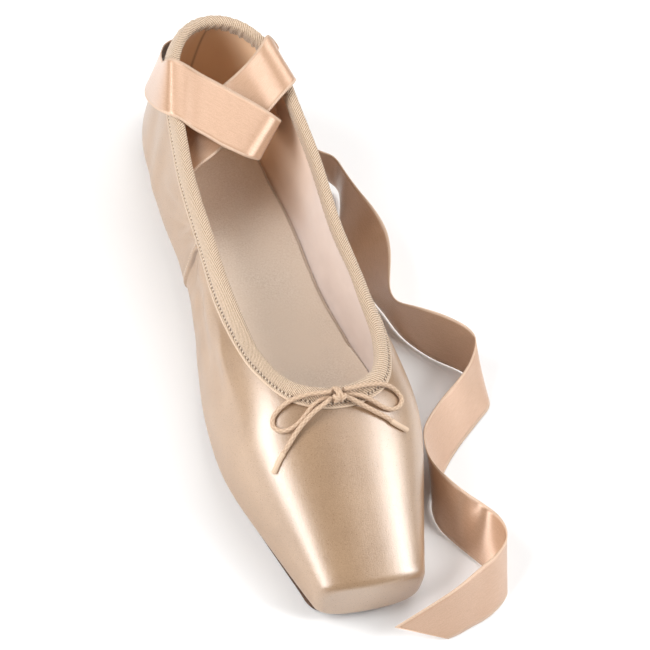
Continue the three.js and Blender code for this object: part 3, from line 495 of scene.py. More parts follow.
class Finish:
    """A material made of nodes, with short calls for the nodes that the finishes share."""

    def __init__(self, name):
        self.material = bpy.data.materials.new(name)
        self.material.use_nodes = True
        self.tree = self.material.node_tree
        self.shader = self.tree.nodes["Principled BSDF"]

    def put(self, node, name, value):
        socket = node.inputs[name]
        if isinstance(value, bpy.types.NodeSocket):
            self.tree.links.new(value, socket)
        else:
            socket.default_value = value

    def node(self, kind, inputs=None, **settings):
        made = self.tree.nodes.new("ShaderNode" + kind)
        for name, value in settings.items():
            setattr(made, name, value)
        for name, value in (inputs or {}).items():
            self.put(made, name, value)
        return made

    def cloth(self):
        """The cloth's own millimetres."""
        return self.node("UVMap", uv_map="cloth").outputs["UV"]

    def place(self):
        """The place in the part's frame, in metres."""
        return self.node("TexCoord").outputs["Object"]

    def shade(self):
        """The shade stored at the mesh's points."""
        return self.node("Attribute", attribute_name="shade").outputs["Fac"]

    def scaled(self, vector, x, y, z=1.0, turn=0.0):
        mapping = self.node("Mapping", {"Vector": vector, "Scale": (x, y, z), "Rotation": (0, 0, turn)})
        return mapping.outputs["Vector"]

    def noise(self, vector, scale, detail=2.0, roughness=0.5):
        inputs = {"Vector": vector, "Scale": scale, "Detail": detail, "Roughness": roughness}
        return self.node("TexNoise", inputs).outputs["Fac"]

    def wave(self, vector, scale, distortion=0.0, direction="X"):
        inputs = {"Vector": vector, "Scale": scale, "Distortion": distortion, "Detail": 1.0}
        return self.node("TexWave", inputs, bands_direction=direction).outputs["Fac"]

    def math(self, operation, a, b=0.0, c=0.0):
        made = self.node("Math", operation=operation)
        for k, value in enumerate((a, b, c)):
            self.put(made, k, value)
        return made.outputs["Value"]

    def plus(self, a, b):
        return self.math("ADD", a, b)

    def times(self, a, b):
        return self.math("MULTIPLY", a, b)

    def split(self, vector):
        return self.node("SeparateXYZ", {"Vector": vector}).outputs

    def ramp(self, value, low, high, to_low=0.0, to_high=1.0):
        inputs = {"Value": value, "From Min": low, "From Max": high, "To Min": to_low, "To Max": to_high}
        return self.node("MapRange", inputs).outputs["Result"]

    def mixed(self, share, a, b):
        made = self.node("Mix", data_type="RGBA")
        self.put(made, 0, share)
        self.put(made, 6, a)
        self.put(made, 7, b)
        return made.outputs[2]

    def bump(self, height, distance, strength=1.0):
        """A bump whose height of 1 is distance millimetres."""
        inputs = {"Height": height, "Distance": distance * MM, "Strength": strength}
        return self.node("Bump", inputs).outputs["Normal"]

    def set(self, **values):
        for name, value in values.items():
            self.put(self.shader, name.replace("_", " "), value)
        return self.material


def rgb(red, green, blue):
    """A linear colour from sRGB values out of 255."""
    linear = [((v / 255 + 0.055) / 1.055) ** 2.4 if v > 10 else v / 255 / 12.92 for v in (red, green, blue)]
    return (*linear, 1.0)


def satin(name, pale, deep, roughness, metallic):
    """Satin: a strong soft gloss broken up by the fine uneven grain of its threads."""
    f = Finish(name)
    cloth = f.cloth()
    place = f.place()
    cloudy = f.noise(place, 55.0, 3.0)
    grain = f.noise(place, 2600.0, 2.0, 0.6)
    slubs = f.noise(f.scaled(cloth, 1.6, 0.16), 1.0, 2.0, 0.6)
    tone = f.plus(f.times(cloudy, 0.35), f.times(grain, 0.65))
    colour = f.mixed(f.ramp(tone, 0.35, 0.65), deep, pale)
    # Painted shade: brown along the side seam's crease, where the mesh's shade is set
    colour = f.mixed(f.times(f.shade(), 0.75), colour, rgb(112, 82, 58))
    height = f.plus(f.times(slubs, 0.5), grain)
    threads = f.bump(height, 0.045, 1.0)
    return f.set(
        Base_Color=colour, Metallic=metallic,
        Roughness=f.ramp(grain, 0.3, 0.7, roughness - 0.05, roughness + 0.05), Specular_IOR_Level=0.6,
        Coat_Weight=1.0, Coat_Roughness=f.ramp(grain, 0.3, 0.7, 0.27, 0.43), Coat_IOR=2.15,
        Normal=threads, Coat_Normal=threads,
    )


def lining_cloth():
    """Cotton twill lining with a faint diagonal, greyish pink, and a warmer brown towards the heel."""
    f = Finish("lining")
    cloth = f.cloth()
    twill = f.wave(f.scaled(cloth, 1, 1, 1, 0.8), 0.75, 0.3)
    fuzz = f.noise(f.place(), 2600.0, 2.0)
    cloudy = f.noise(f.place(), 45.0, 3.0)
    colour = f.mixed(f.ramp(cloudy, 0.35, 0.65), rgb(222, 205, 195), rgb(234, 219, 210))
    along = f.split(f.place())["Y"]
    colour = f.mixed(f.ramp(along, 0.075, 0.125), colour, rgb(244, 206, 168))
    colour = f.mixed(f.times(f.shade(), 0.8), colour, rgb(140, 108, 84))
    height = f.plus(f.times(twill, 0.5), fuzz)
    return f.set(
        Base_Color=colour, Roughness=0.92, Sheen_Weight=0.35, Sheen_Roughness=0.5,
        Specular_IOR_Level=0.2, Normal=f.bump(height, 0.06, 0.7),
    )


def insole_cloth():
    """The insole's napped cover, beige, speckled by its fibres."""
    f = Finish("insole_nap")
    place = f.place()
    fibres = f.noise(place, 1500.0, 3.0, 0.7)
    cloudy = f.noise(place, 38.0, 3.0)
    pale = f.mixed(f.ramp(fibres, 0.3, 0.7), rgb(218, 200, 180), rgb(248, 236, 222))
    colour = f.mixed(f.ramp(cloudy, 0.3, 0.7), pale, rgb(238, 222, 204))
    return f.set(
        Base_Color=colour, Roughness=0.95, Sheen_Weight=0.4, Sheen_Roughness=0.6,
        Specular_IOR_Level=0.15, Normal=f.bump(fibres, 0.16, 0.8),
    )


def tape_cloth(stitch_at, pitch):
    """The collar's tape: ribbed matte twill, a row of needle holes with painted shadow in them, and a
    smooth satin lip past them.
    """
    f = Finish("tape")
    cloth = f.cloth()
    along, across, _ = f.split(cloth)
    from_row = f.math("ABSOLUTE", f.math("SUBTRACT", across, stitch_at))
    at_hole = f.math("COSINE", f.times(along, 2 * math.pi / pitch))
    uneven = f.noise(f.scaled(cloth, 0.6, 0.9), 1.0, 2.0)
    from_row = f.plus(from_row, f.times(f.math("SUBTRACT", uneven, 0.5), 1.5))
    hole_and_shadow = f.times(f.ramp(from_row, 0.6, 0.3), f.ramp(at_hole, -0.15, 0.5))
    lip = f.ramp(across, stitch_at - 1.15, stitch_at - 1.45)
    ribs = f.wave(f.scaled(cloth, 1, 1, 1, 0.7), 0.4, 1.2)
    knots = f.noise(f.scaled(cloth, 1.5, 2.1), 1.0, 2.0, 0.75)
    weave = f.plus(f.times(ribs, 0.6), knots)
    colour = f.mixed(f.ramp(weave, 0.5, 1.05), rgb(168, 138, 110), rgb(230, 207, 182))
    colour = f.mixed(f.times(lip, 0.8), colour, rgb(222, 196, 170))
    # Painted shadow darkens the needle holes
    colour = f.mixed(f.times(hole_and_shadow, 0.75), colour, rgb(112, 82, 60))
    rough = f.ramp(lip, 0.0, 1.0, 0.7, 0.36)
    height = f.times(weave, f.ramp(lip, 0.0, 1.0, 1.0, 0.15))
    height = f.math("SUBTRACT", height, f.times(hole_and_shadow, 1.5))
    return f.set(
        Base_Color=colour, Roughness=rough, Sheen_Weight=0.3, Sheen_Roughness=0.4,
        Specular_IOR_Level=0.35, Normal=f.bump(height, 0.36, 1.0),
    )


def sole_leather():
    """Dark brown split leather, dry and a little scuffed."""
    f = Finish("sole_leather")
    place = f.place()
    grain = f.noise(place, 900.0, 4.0, 0.65)
    scuff = f.noise(f.scaled(place, 1, 0.35), 60.0, 4.0, 0.6)
    brown = f.mixed(f.ramp(grain, 0.35, 0.65), rgb(62, 40, 28), rgb(86, 60, 44))
    colour = f.mixed(f.ramp(scuff, 0.52, 0.72), brown, rgb(122, 94, 74))
    return f.set(
        Base_Color=colour, Roughness=f.ramp(scuff, 0.3, 0.7, 0.6, 0.85), Specular_IOR_Level=0.35,
        Normal=f.bump(f.plus(grain, f.times(scuff, 0.5)), 0.12, 0.8),
    )


def ribbon_satin():
    """Ribbon satin: warp threads along it, and a denser woven edge with a row of tiny loops."""
    f = Finish("ribbon_satin")
    cloth = f.cloth()
    along, across, _ = f.split(cloth)
    from_edge = f.math("SUBTRACT", RIBBON_WIDTH / 2, f.math("ABSOLUTE", across))
    edge = f.ramp(from_edge, 1.15, 0.85)
    loops = f.times(edge, f.math("SINE", f.times(along, 2 * math.pi / 0.8)))
    threads = f.wave(f.scaled(cloth, 0.02, 1.0), 3.1, 0.3, "Y")
    slubs = f.noise(f.scaled(cloth, 0.25, 2.6), 1.0, 2.0)
    grain = f.noise(f.scaled(cloth, 1.7, 2.3), 1.0, 1.0)
    base = f.mixed(f.ramp(f.plus(slubs, grain), 0.8, 1.2), rgb(194, 154, 124), rgb(205, 166, 136))
    colour = f.mixed(f.times(edge, 0.55), base, rgb(236, 210, 186))
    height = f.plus(f.times(threads, 0.25), f.times(slubs, 0.5))
    height = f.plus(height, f.times(loops, 2.2))
    weave = f.bump(height, 0.04, 0.7)
    return f.set(
        Base_Color=colour, Metallic=0.2, Roughness=f.ramp(edge, 0.0, 1.0, 0.34, 0.55),
        Specular_IOR_Level=0.6, Coat_Weight=f.ramp(edge, 0.0, 1.0, 0.7, 0.2), Coat_Roughness=0.28,
        Coat_IOR=1.6, Sheen_Weight=0.1, Sheen_Roughness=0.4, Normal=weave, Coat_Normal=weave,
    )


def cord_cotton():
    """Braided cotton cord: the braid is in the mesh, and painted shade darkens its hollows."""
    f = Finish("drawstring")
    fibres = f.noise(f.place(), 5200.0, 2.0)
    # Painted shade from the braid's hollows, with the fibres' speckle
    braid_shade_and_fibres = f.plus(f.shade(), f.times(fibres, 0.35))
    colour = f.mixed(f.ramp(braid_shade_and_fibres, -0.1, 1.1), rgb(176, 144, 117), rgb(220, 193, 166))
    return f.set(
        Base_Color=colour, Roughness=0.62, Sheen_Weight=0.25, Sheen_Roughness=0.4,
        Specular_IOR_Level=0.4, Normal=f.bump(fibres, 0.05, 0.8),
    )


def thread_finish(name, colour):
    f = Finish(name)
    twist = f.noise(f.place(), 3000.0, 2.0)
    shade = f.mixed(twist, tuple(0.8 * c for c in colour[:3]) + (1.0,), colour)
    return f.set(Base_Color=shade, Roughness=0.6, Specular_IOR_Level=0.4, Normal=f.bump(twist, 0.03))


SATIN = satin("satin", rgb(179, 144, 108), rgb(153, 119, 86), 0.42, 0.12)
LINING = lining_cloth()
INSOLE = insole_cloth()
LEATHER = sole_leather()
RIBBON = ribbon_satin()
COTTON = cord_cotton()
THREAD = thread_finish("thread", rgb(236, 216, 194))


def own(piece, node=None):
    """The piece rides on the shoe, and may stand for a node of the frame."""
    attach(piece, "root")
    if node:
        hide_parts(node)
    return piece


# Upper

SEAM_WIDTH = 0.0022
LAP_FADE = 0.05


def seam_fold(share, depth):
    """The side seam: the quarter laps over the vamp, with a rolled fold and a crease in front of it.
    Returns how far it stands out, and how much painted shade its crease gets."""
    behind = SEAM_SHARE - share
    rise = smoothstep(behind, -SEAM_WIDTH / 2, SEAM_WIDTH / 2)
    step = SEAM_STEP * rise * (1 - smoothstep(behind, 0, LAP_FADE))
    way = behind * SIDE_LENGTH
    down = 1 - smoothstep(depth, 20, 44)
    fold = bell(way - 1.0, 0.8) - 0.45 * bell(way - 2.5, 0.5)
    crease = bell(way + 0.3, 0.42)
    near = 1 - smoothstep(depth, 14, 26)
    # The second value is painted shade along the crease, strongest near the collar
    return step + (0.5 * fold - 0.4 * crease * near) * down, crease * lerp(0.35, 1.0, near) * down


def back_seam(share, side):
    """The seam down the lining at the heel's back: a small ridge and its dark line."""
    way = share * SIDE_LENGTH * side
    return 0.35 * bell(way, 1.4), bell(way - 0.8, 0.4)


# Creases, one by one. Rows: the side, the share round it and the depth under the collar, the degrees that
# its direction is turned from straight down, its reach along and across, and how far it stands out (or in)
CREASES = [
    (-1, 0.378, 12, -28, 7, 1.6, -0.9),
    (-1, 0.366, 12, -32, 8, 1.7, 1.0),
    (-1, 0.352, 14, -40, 9, 1.9, -0.9),
    (-1, 0.337, 14, -46, 10, 2.1, 0.9),
    (-1, 0.32, 16, -52, 11, 2.6, -0.8),
    (-1, 0.29, 16, -58, 13, 3.4, 0.6),
    (-1, 0.25, 20, -30, 14, 5.0, -0.8),
    (-1, 0.215, 26, 8, 20, 5.0, 0.9),
    (-1, 0.17, 24, 12, 16, 5.0, -0.8),
    (-1, 0.5, 13, 84, 26, 3.8, 1.0),
    (-1, 0.51, 22, 82, 26, 4.6, -1.0),
    (-1, 0.59, 14, 74, 14, 3.0, 0.7),
    (-1, 0.6, 21, 70, 14, 3.6, -0.6),
    (-1, 0.415, 15, 14, 11, 2.6, -0.5),
    (-1, 0.435, 16, 22, 14, 3.8, 0.5),
    (-1, 0.47, 24, 26, 20, 6.0, -0.5),
    (1, 0.37, 13, -35, 9, 2.0, -0.8),
    (1, 0.35, 14, -42, 10, 2.2, 0.8),
    (1, 0.32, 15, -52, 12, 3.0, -0.7),
    (1, 0.415, 16, 20, 12, 2.8, -0.8),
    (1, 0.44, 16, 26, 16, 4.5, 0.6),
]


def creases(side, share, depth):
    """The sum of the listed troughs and ridges."""
    total = np.zeros(np.broadcast(side, share, depth).shape)
    for its_side, its_share, its_depth, degrees, reach, breadth, out in CREASES:
        u = (share - its_share) * SIDE_LENGTH
        v = depth - its_depth
        turn = math.radians(degrees)
        along = u * math.sin(turn) + v * math.cos(turn)
        across = u * math.cos(turn) - v * math.sin(turn)
        total = total + np.where(side == its_side, out, 0.0) * bell(along, reach) * bell(across, breadth)
    return total


def pleats(share, distance):
    """Gathers of the satin where it is drawn in under the toe."""
    near_toe = smoothstep(share, 0.72, 0.9)
    wave = np.cos(share * SIDE_LENGTH * 2 * math.pi / 5.2) - 1
    return 0.3 * wave * near_toe * (1 - smoothstep(distance, 1.5, 4.5))


def spaced(length, r, z, count, bend_weight):
    """Distances along one profile, closer together where it bends."""
    turn = np.unwrap(np.arctan2(np.diff(z), np.diff(r)))
    bend = np.concatenate([[0], np.abs(np.diff(turn)), [0]])
    smooth = np.convolve(bend, np.ones(9) / 9, mode="same")
    weight = np.concatenate([[0], np.cumsum(length / (len(r) - 1) + bend_weight * smooth[1:])])
    even = np.linspace(0, weight[-1], count)
    return np.interp(even, weight, np.linspace(0, length, len(r)))


def inner_points(outer, fan, centre, wall):
    """The places on the inside of the wall that belong to places on the satin."""
    n = last_normal(outer)
    r = fan.reach(outer)
    z = outer[..., 2]
    sideways, forwards = fan.sideways[:, None], fan.forwards[:, None]
    inwards = -np.stack([n[..., 0] * sideways + n[..., 1] * forwards, n[..., 2]], -1)
    home = unit(np.stack([centre[:, None] - r, CENTRE_HEIGHT - z], axis=-1))
    blend = lerp(0.55, 1, smoothstep(z, CENTRE_HEIGHT, CENTRE_HEIGHT + 9))[..., None]
    way = unit(lerp(home, unit(inwards), blend))

    def moved(step):
        return fan.point(r + way[..., 0] * step, z + way[..., 1] * step)

    start = np.zeros_like(z)
    _, end = narrowed(lambda step: distance_at(moved(step)) > -wall, start, start + WALL_END)
    return moved(end)


UPPER_ROWS = 74


def make_upper():
    """The hollow upper: satin outside, lining inside, open at the collar and at the sole's opening."""
    profiles = zip(skin.length, skin.r, skin.z)
    at = np.stack([spaced(length, r, z, UPPER_ROWS, 14) for length, r, z in profiles])
    index = np.broadcast_to(np.arange(len(skin.shares))[:, None], at.shape)
    outer = skin.sample(index, at)
    depth = skin.length[:, None] - at
    inner = inner_points(outer, skin.fan, skin.centre, wall_at(outer[..., 1], depth))
    side, order = both_sides(np.arange(len(skin.shares)))
    share = skin.shares[order]
    outer, inner, depth, at = outer[order], inner[order], depth[order], at[order]
    fade = smoothstep(depth, BINDING_WIDTH, BINDING_WIDTH + 3) * smoothstep(at, 2, TURNED_UNDER + 8)
    fold, dark = seam_fold(share[:, None], depth)
    out = (fold + creases(side[:, None], share[:, None], depth)) * fade
    out = out + pleats(share[:, None], at)
    ridge, line = back_seam(share[:, None], side[:, None])
    inner = inner - last_normal(outer) * (ridge * fade)[..., None]
    outer = to_part(outer + last_normal(outer) * out[..., None], side[:, None])
    inner = to_part(inner, side[:, None])
    # Painted shade in the side seam's crease on the satin; the back seam's dark line on the lining
    shade = np.concatenate([dark * fade, (line * fade)[:, ::-1]], axis=1)
    grid = np.concatenate([outer, inner[:, ::-1]], axis=1)
    way = distances(np.concatenate([outer[:, UPPER_ROWS // 2], outer[:1, UPPER_ROWS // 2]]))[:, None]
    down = np.concatenate([at, at[:, ::-1], at[:, :1]], axis=1)
    down = np.concatenate([down, down[:1]], axis=0)
    lining_row = [0] * (UPPER_ROWS - 1) + [1] * (UPPER_ROWS + 1)
    piece = grid_object("upper_satin", grid, way, down, [SATIN, LINING], (True, True), lining_row, shade)
    return own(piece, "upper")


make_upper()

# Outsole and insole

SOLE_BEVEL = 0.8
RADIAL = np.array([0.0, 0.12, 0.25, 0.5, 0.75, 0.9])
SEAT_RISE = 1.2
INSOLE_CROWN = 0.5


def plate_object(name, sections, materials):
    """A plate from sections that start and end on the spine, all round the shoe."""
    across, along = sections.shape[:2]
    faces = quads(across, along, (True, False))[2]
    points = sections.reshape(-1, 3)
    rounded = np.round(points, 3)
    _, first, same = np.unique(rounded, axis=0, return_index=True, return_inverse=True)
    faces = same.ravel()[faces]
    points = points[first]
    if looks_inwards(points, faces):
        faces = faces[:, ::-1]
    kept = []
    for face in faces.tolist():
        corners = list(dict.fromkeys(face))
        if len(corners) >= 3:
            kept.append(corners)
    return mesh_object(name, points, kept, None, materials)


def plate_stations():
    """Every second station of the skin, with the toe's stations all kept."""
    n = len(skin.shares)
    return np.array([i for i in range(n) if i % 2 == 0 or skin.shares[i] > 0.9 or i == n - 1])


def radial_sections(rows, fan):
    """Sections of both sides from (r, z) rows, each row an array with a value for each plane."""
    r, z = (np.stack(values, axis=1) for values in zip(*rows))
    side, both = both_sides(fan.point(r, z))
    return to_part(both, side[:, None])


def make_outsole():
    """The leather outsole, bevelled below, its top edge close under the satin."""
    picked = plate_stations()
    fan = fan_at(skin.shares[picked])
    reach = skin.sole_reach[picked]
    opening = skin.opening[picked]

    def floor(r, up):
        return (r, lift(fan.spine + fan.forwards * r) + up)

    def under_satin(r):
        return (r, CENTRE_HEIGHT - fan.ray(r, CENTRE_HEIGHT, 0.0, -1.0) - GAP * 1.5)

    rows = [floor(k * opening, 0) for k in RADIAL]
    rows += [floor(opening, 0), floor(reach - SOLE_BEVEL * 2.2, 0), floor(reach - SOLE_BEVEL * 1.5, 0)]
    rows += [floor(reach - SOLE_BEVEL * 0.55, 0.22), floor(reach - SOLE_BEVEL * 0.12, SOLE_BEVEL * 0.7)]
    rows += [floor(reach, SOLE_BEVEL * 1.3)]
    rows += [under_satin(reach - inwards) for inwards in (0, 0.7, 2)]
    rows += [floor(opening, SOLE_THICKNESS)]
    rows += [floor(k * opening, SOLE_THICKNESS) for k in RADIAL[::-1]]
    piece = plate_object("outsole_leather", radial_sections(rows, fan), [LEATHER])
    return own(piece, "outsole")


def make_insole():
    """The insole: it fills the sole's opening and lies on the upper's turned-in edge, with a soft rim."""
    picked = plate_stations()
    fan = fan_at(skin.shares[picked])
    opening = skin.opening[picked]
    at = np.linspace(0, 1, 120)[None, :] * np.minimum(skin.length[picked], 60)[:, None]
    index = np.broadcast_to(picked[:, None], at.shape)
    outer = skin.sample(index, at)
    depth = skin.length[picked][:, None] - at
    inner = inner_points(outer, fan, skin.centre[picked], wall_at(outer[..., 1], depth))

    def seat(t):
        return UNDERSIDE + lift(t) + wall_at(t, LENGTH) + SEAT_RISE + INSOLE_THICKNESS

    def base(r):
        return UNDERSIDE + lift(fan.spine + fan.forwards * r)

    def top(r):
        return seat(fan.spine + fan.forwards * r)

    last = np.argmax(inner[..., 2] > seat(inner[..., 1]) - 1.6, axis=1)
    stations = np.arange(len(picked))
    in_box = smoothstep(inner[stations, last, 1], LENGTH * 0.8, LENGTH * 0.94)
    inner_r = fan.reach(inner)
    edge = inner_r[stations, last] - lerp(1, 9, in_box) * GAP
    fill = np.minimum(opening, inner_r[:, 0]) - 0.9
    rows = [(k * fill, base(k * fill)) for k in RADIAL]
    rows += [(fill, base(fill)), (fill, inner[:, 0, 2] + 2 * GAP)]
    rows += [(lerp(fill, edge, 0.6), top(lerp(fill, edge, 0.6)) - 1.5)]
    rows += [(edge - 0.1, top(edge) - 1.0), (edge, top(edge) - 0.7), (edge - 0.12, top(edge) - 0.35)]
    rows += [(edge - 0.5, top(edge) - 0.08), (edge - 1.2, top(edge))]
    for k in (0.97, 0.93, 0.86, 0.76, 0.62, 0.46, 0.3, 0.16, 0.0):
        rows.append((k * edge, top(k * edge) + INSOLE_CROWN * (1 - k * k)))
    piece = plate_object("insole_nap", radial_sections(rows, fan), [INSOLE])
    return own(piece, "insole")


make_outsole()
make_insole()

# Binding

BINDING_STATIONS = 900
INSIDE = -(QUARTER_WALL + GAP)
# Its section. Rows: depth under the collar's edge, height over the satin, and how much it puckers
WIDE, THICK = BINDING_WIDTH, BINDING_THICKNESS
BINDING_ROWS = np.array([
    (WIDE, GAP, 0), (WIDE + 0.05, GAP + THICK * 0.45, 0.1), (WIDE - 0.15, GAP + THICK * 0.8, 0.2),
    (WIDE - 0.5, GAP + THICK * 0.92, 0.3), (WIDE - 1.05, GAP + THICK * 0.88, 0.5),
    (WIDE - 1.5, GAP + THICK * 0.68, 0.4), (WIDE - 1.9, GAP + THICK * 0.58, 0.2),
    (WIDE - 2.3, GAP + THICK * 0.68, 0.4), (WIDE - 2.7, GAP + THICK * 0.98, 0.9),
    (WIDE - 3.2, GAP + THICK * 1.15, 1), (WIDE * 0.46, GAP + THICK * 1.28, 1),
    (WIDE * 0.3, GAP + THICK * 1.32, 1), (WIDE * 0.16, GAP + THICK * 1.25, 1),
    (WIDE * 0.05, GAP + THICK * 1.1, 0.8), (-GAP, GAP + THICK * 0.85, 0.5),
    (-GAP - THICK * 0.55, GAP + THICK * 0.45, 0.4), (-GAP - THICK * 0.9, GAP - 0.2, 0.3),
    (-GAP - THICK, (GAP + INSIDE) / 2, 0.3), (-GAP - THICK * 0.9, INSIDE + 0.2, 0.3),
    (-GAP - THICK * 0.55, INSIDE - THICK * 0.45, 0.5), (-GAP, INSIDE - THICK * 0.85, 0.8),
    (0.8, INSIDE - THICK * 1.1, 1.2), (2.2, INSIDE - THICK * 1.15, 1.5), (3.6, INSIDE - THICK * 1.05, 1.6),
    (4.5, INSIDE - THICK * 0.8, 1.2), (5.2, INSIDE - THICK * 0.95, 1.4),
    (BINDING_INSIDE - 0.1, INSIDE - THICK * 0.75, 0.8), (BINDING_INSIDE, INSIDE - THICK * 0.3, 0.2),
    (BINDING_INSIDE, INSIDE, 0), (-GAP, INSIDE, 0), (-GAP, GAP, 0), (WIDE / 2, GAP, 0),
])
BINDING_ACROSS = distances(np.append(BINDING_ROWS, BINDING_ROWS[:1], axis=0)[:, :2])
STITCH_ROW = 6
STITCH_DEPTH = BINDING_ROWS[STITCH_ROW, 0]

# The way round the collar's edge on one side, at even shares
COLLAR_SHARES = np.linspace(0, 1, 2400)
COLLAR_WAY = distances(to_part(skin.at(COLLAR_SHARES, 0.0)))
COLLAR_TOTAL = 2 * COLLAR_WAY[-1]
STITCH_PITCH = COLLAR_TOTAL / round(COLLAR_TOTAL / 1.55)


def on_collar(way):
    """Side and share at places on the way round the collar."""
    way = np.mod(way, COLLAR_TOTAL)
    half = COLLAR_TOTAL / 2
    side = np.where(way <= half, 1.0, -1.0)
    return side, np.interp(np.where(way <= half, way, COLLAR_TOTAL - way), COLLAR_WAY, COLLAR_SHARES)


def puckers(side, share, way):
    """The tape's small gathers: strongest at the heel and at the throat, where the cord draws it in."""
    gather = 0.3 + 0.9 * (1 - smoothstep(share, 0.06, 0.2)) + 0.3 * smoothstep(share, 0.9, 1.0)
    coarse = np.sin(way * 1.9 + 0.8 * np.sin(way * 0.31))
    fine = np.sin(way * 3.1 + 1.3 * np.sin(way * 0.17))
    return gather * (coarse + 0.6 * fine)


def make_binding():
    """The tape folded over the collar's edge, filled out by the drawstring inside it."""
    way = np.linspace(0, COLLAR_TOTAL, BINDING_STATIONS, endpoint=False)
    side, share = on_collar(way)
    ripple = puckers(side, share, way)
    columns = []
    for depth, offset, soft in BINDING_ROWS:
        inside = offset < -0.5
        height = offset + (-1 if inside else 1) * soft * 0.11 * ripple
        scallop = 0.35 * ripple if inside and depth > 4 else 0.0
        columns.append(skin.over(side, share, depth + scallop, height))
    grid = np.stack(columns, axis=1)
    tape = tape_cloth(float(BINDING_ACROSS[STITCH_ROW]), STITCH_PITCH)
    u = np.append(way, COLLAR_TOTAL)[:, None]
    piece = grid_object("collar_binding", grid, u, BINDING_ACROSS[None, :], [tape], (True, True))
    return own(piece, "binding")


def capsules(name, centres, directions, ups, length, width, thickness, material, sides=8, rings=5):
    """Many small stitches as one mesh: flattened rods with round ends."""
    t = np.linspace(-1, 1, rings)[:, None, None]
    radius = np.sqrt(np.maximum(1 - t**4, 0.04))
    angle = (np.arange(sides) * 2 * math.pi / sides)[:, None]
    across = unit(np.cross(directions, ups))
    around = quads(rings, sides, (False, True))[2][:, ::-1]
    start = np.arange(sides)
    end = start + (rings - 1) * sides
    points, faces = [], []
    for k, centre in enumerate(centres):
        along = directions[k] * (t * length / 2)
        sideways = across[k] * (radius * np.cos(angle) * width / 2)
        upwards = ups[k] * (radius * np.sin(angle) * thickness / 2)
        points.append((centre + along + sideways + upwards).reshape(-1, 3))
        first = k * rings * sides
        faces += (around + first).tolist()
        faces += [(start[::-1] + first).tolist(), (end + first).tolist()]
    return mesh_object(name, np.concatenate(points), faces, None, [material])


def stitches(name, place, raised, size):
    """Stitches of one size along a row; place(shift, up) gives their places, moved along the row and up."""
    middle = place(0, raised)
    along = unit(place(0.3, 0.0) - place(-0.3, 0.0))
    return own(capsules(name, middle, along, unit(place(0, 1.0) - middle), *size, THREAD))


def collar_stitches():
    """The row that holds the tape down, one stitch between each two needle holes."""
    way = (np.arange(round(COLLAR_TOTAL / STITCH_PITCH)) + 0.5) * STITCH_PITCH
    height = GAP + BINDING_THICKNESS * 0.6

    def place(shift, up):
        return skin.over(*on_collar(way + shift), STITCH_DEPTH, height + up)

    return stitches("collar_stitches", place, 0.05, (0.95, 0.5, 0.42))


def side_seam_stitches(side, name):
    """The row along the side seam's fold."""
    depth = np.arange(BINDING_WIDTH + 1.2, 36, 1.7)
    share = SEAM_SHARE - 2.5 / SIDE_LENGTH

    def place(shift, up):
        return skin.over(side, share, depth + shift, SEAM_STEP * 0.75 + up)

    return stitches(name, place, 0.0, (1.0, 0.36, 0.3))


make_binding()
collar_stitches()
side_seam_stitches(1, "seam_stitches_pos_x")
side_seam_stitches(-1, "seam_stitches_neg_x")

# Ribbons: rows give a place on the upper edge (x, y, z) and one on the lower (x2, y2, z2)

OUTER_ACROSS = [
    (19.5, 128.5, 41, 23.2, 118, 26),
    (20.6, 121, 42, 20, 111.5, 29),
    (20.4, 113, 43.5, 15, 103.5, 33),
    (19.2, 106, 46.3, 9.3, 95, 38.5),
    (17.5, 103, 50, 5, 89.7, 43.8),
    (15.5, 102.5, 52.5, 2, 88.5, 46.5),
    (12.4, 104, 54.5, -1.4, 89, 48),
    (8, 108, 55.5, -5, 91, 49),
    (2, 113.5, 56, -10, 94.5, 49.5),
    (-6.3, 120.5, 57, -15.3, 99.5, 50.3),
    (-12.5, 124.5, 58.7, -20, 102.6, 51.6),
    (-18.2, 127.8, 61.4, -25, 106, 54.6),
    (-22.6, 130.5, 61.8, -29.3, 110, 53.2),
]
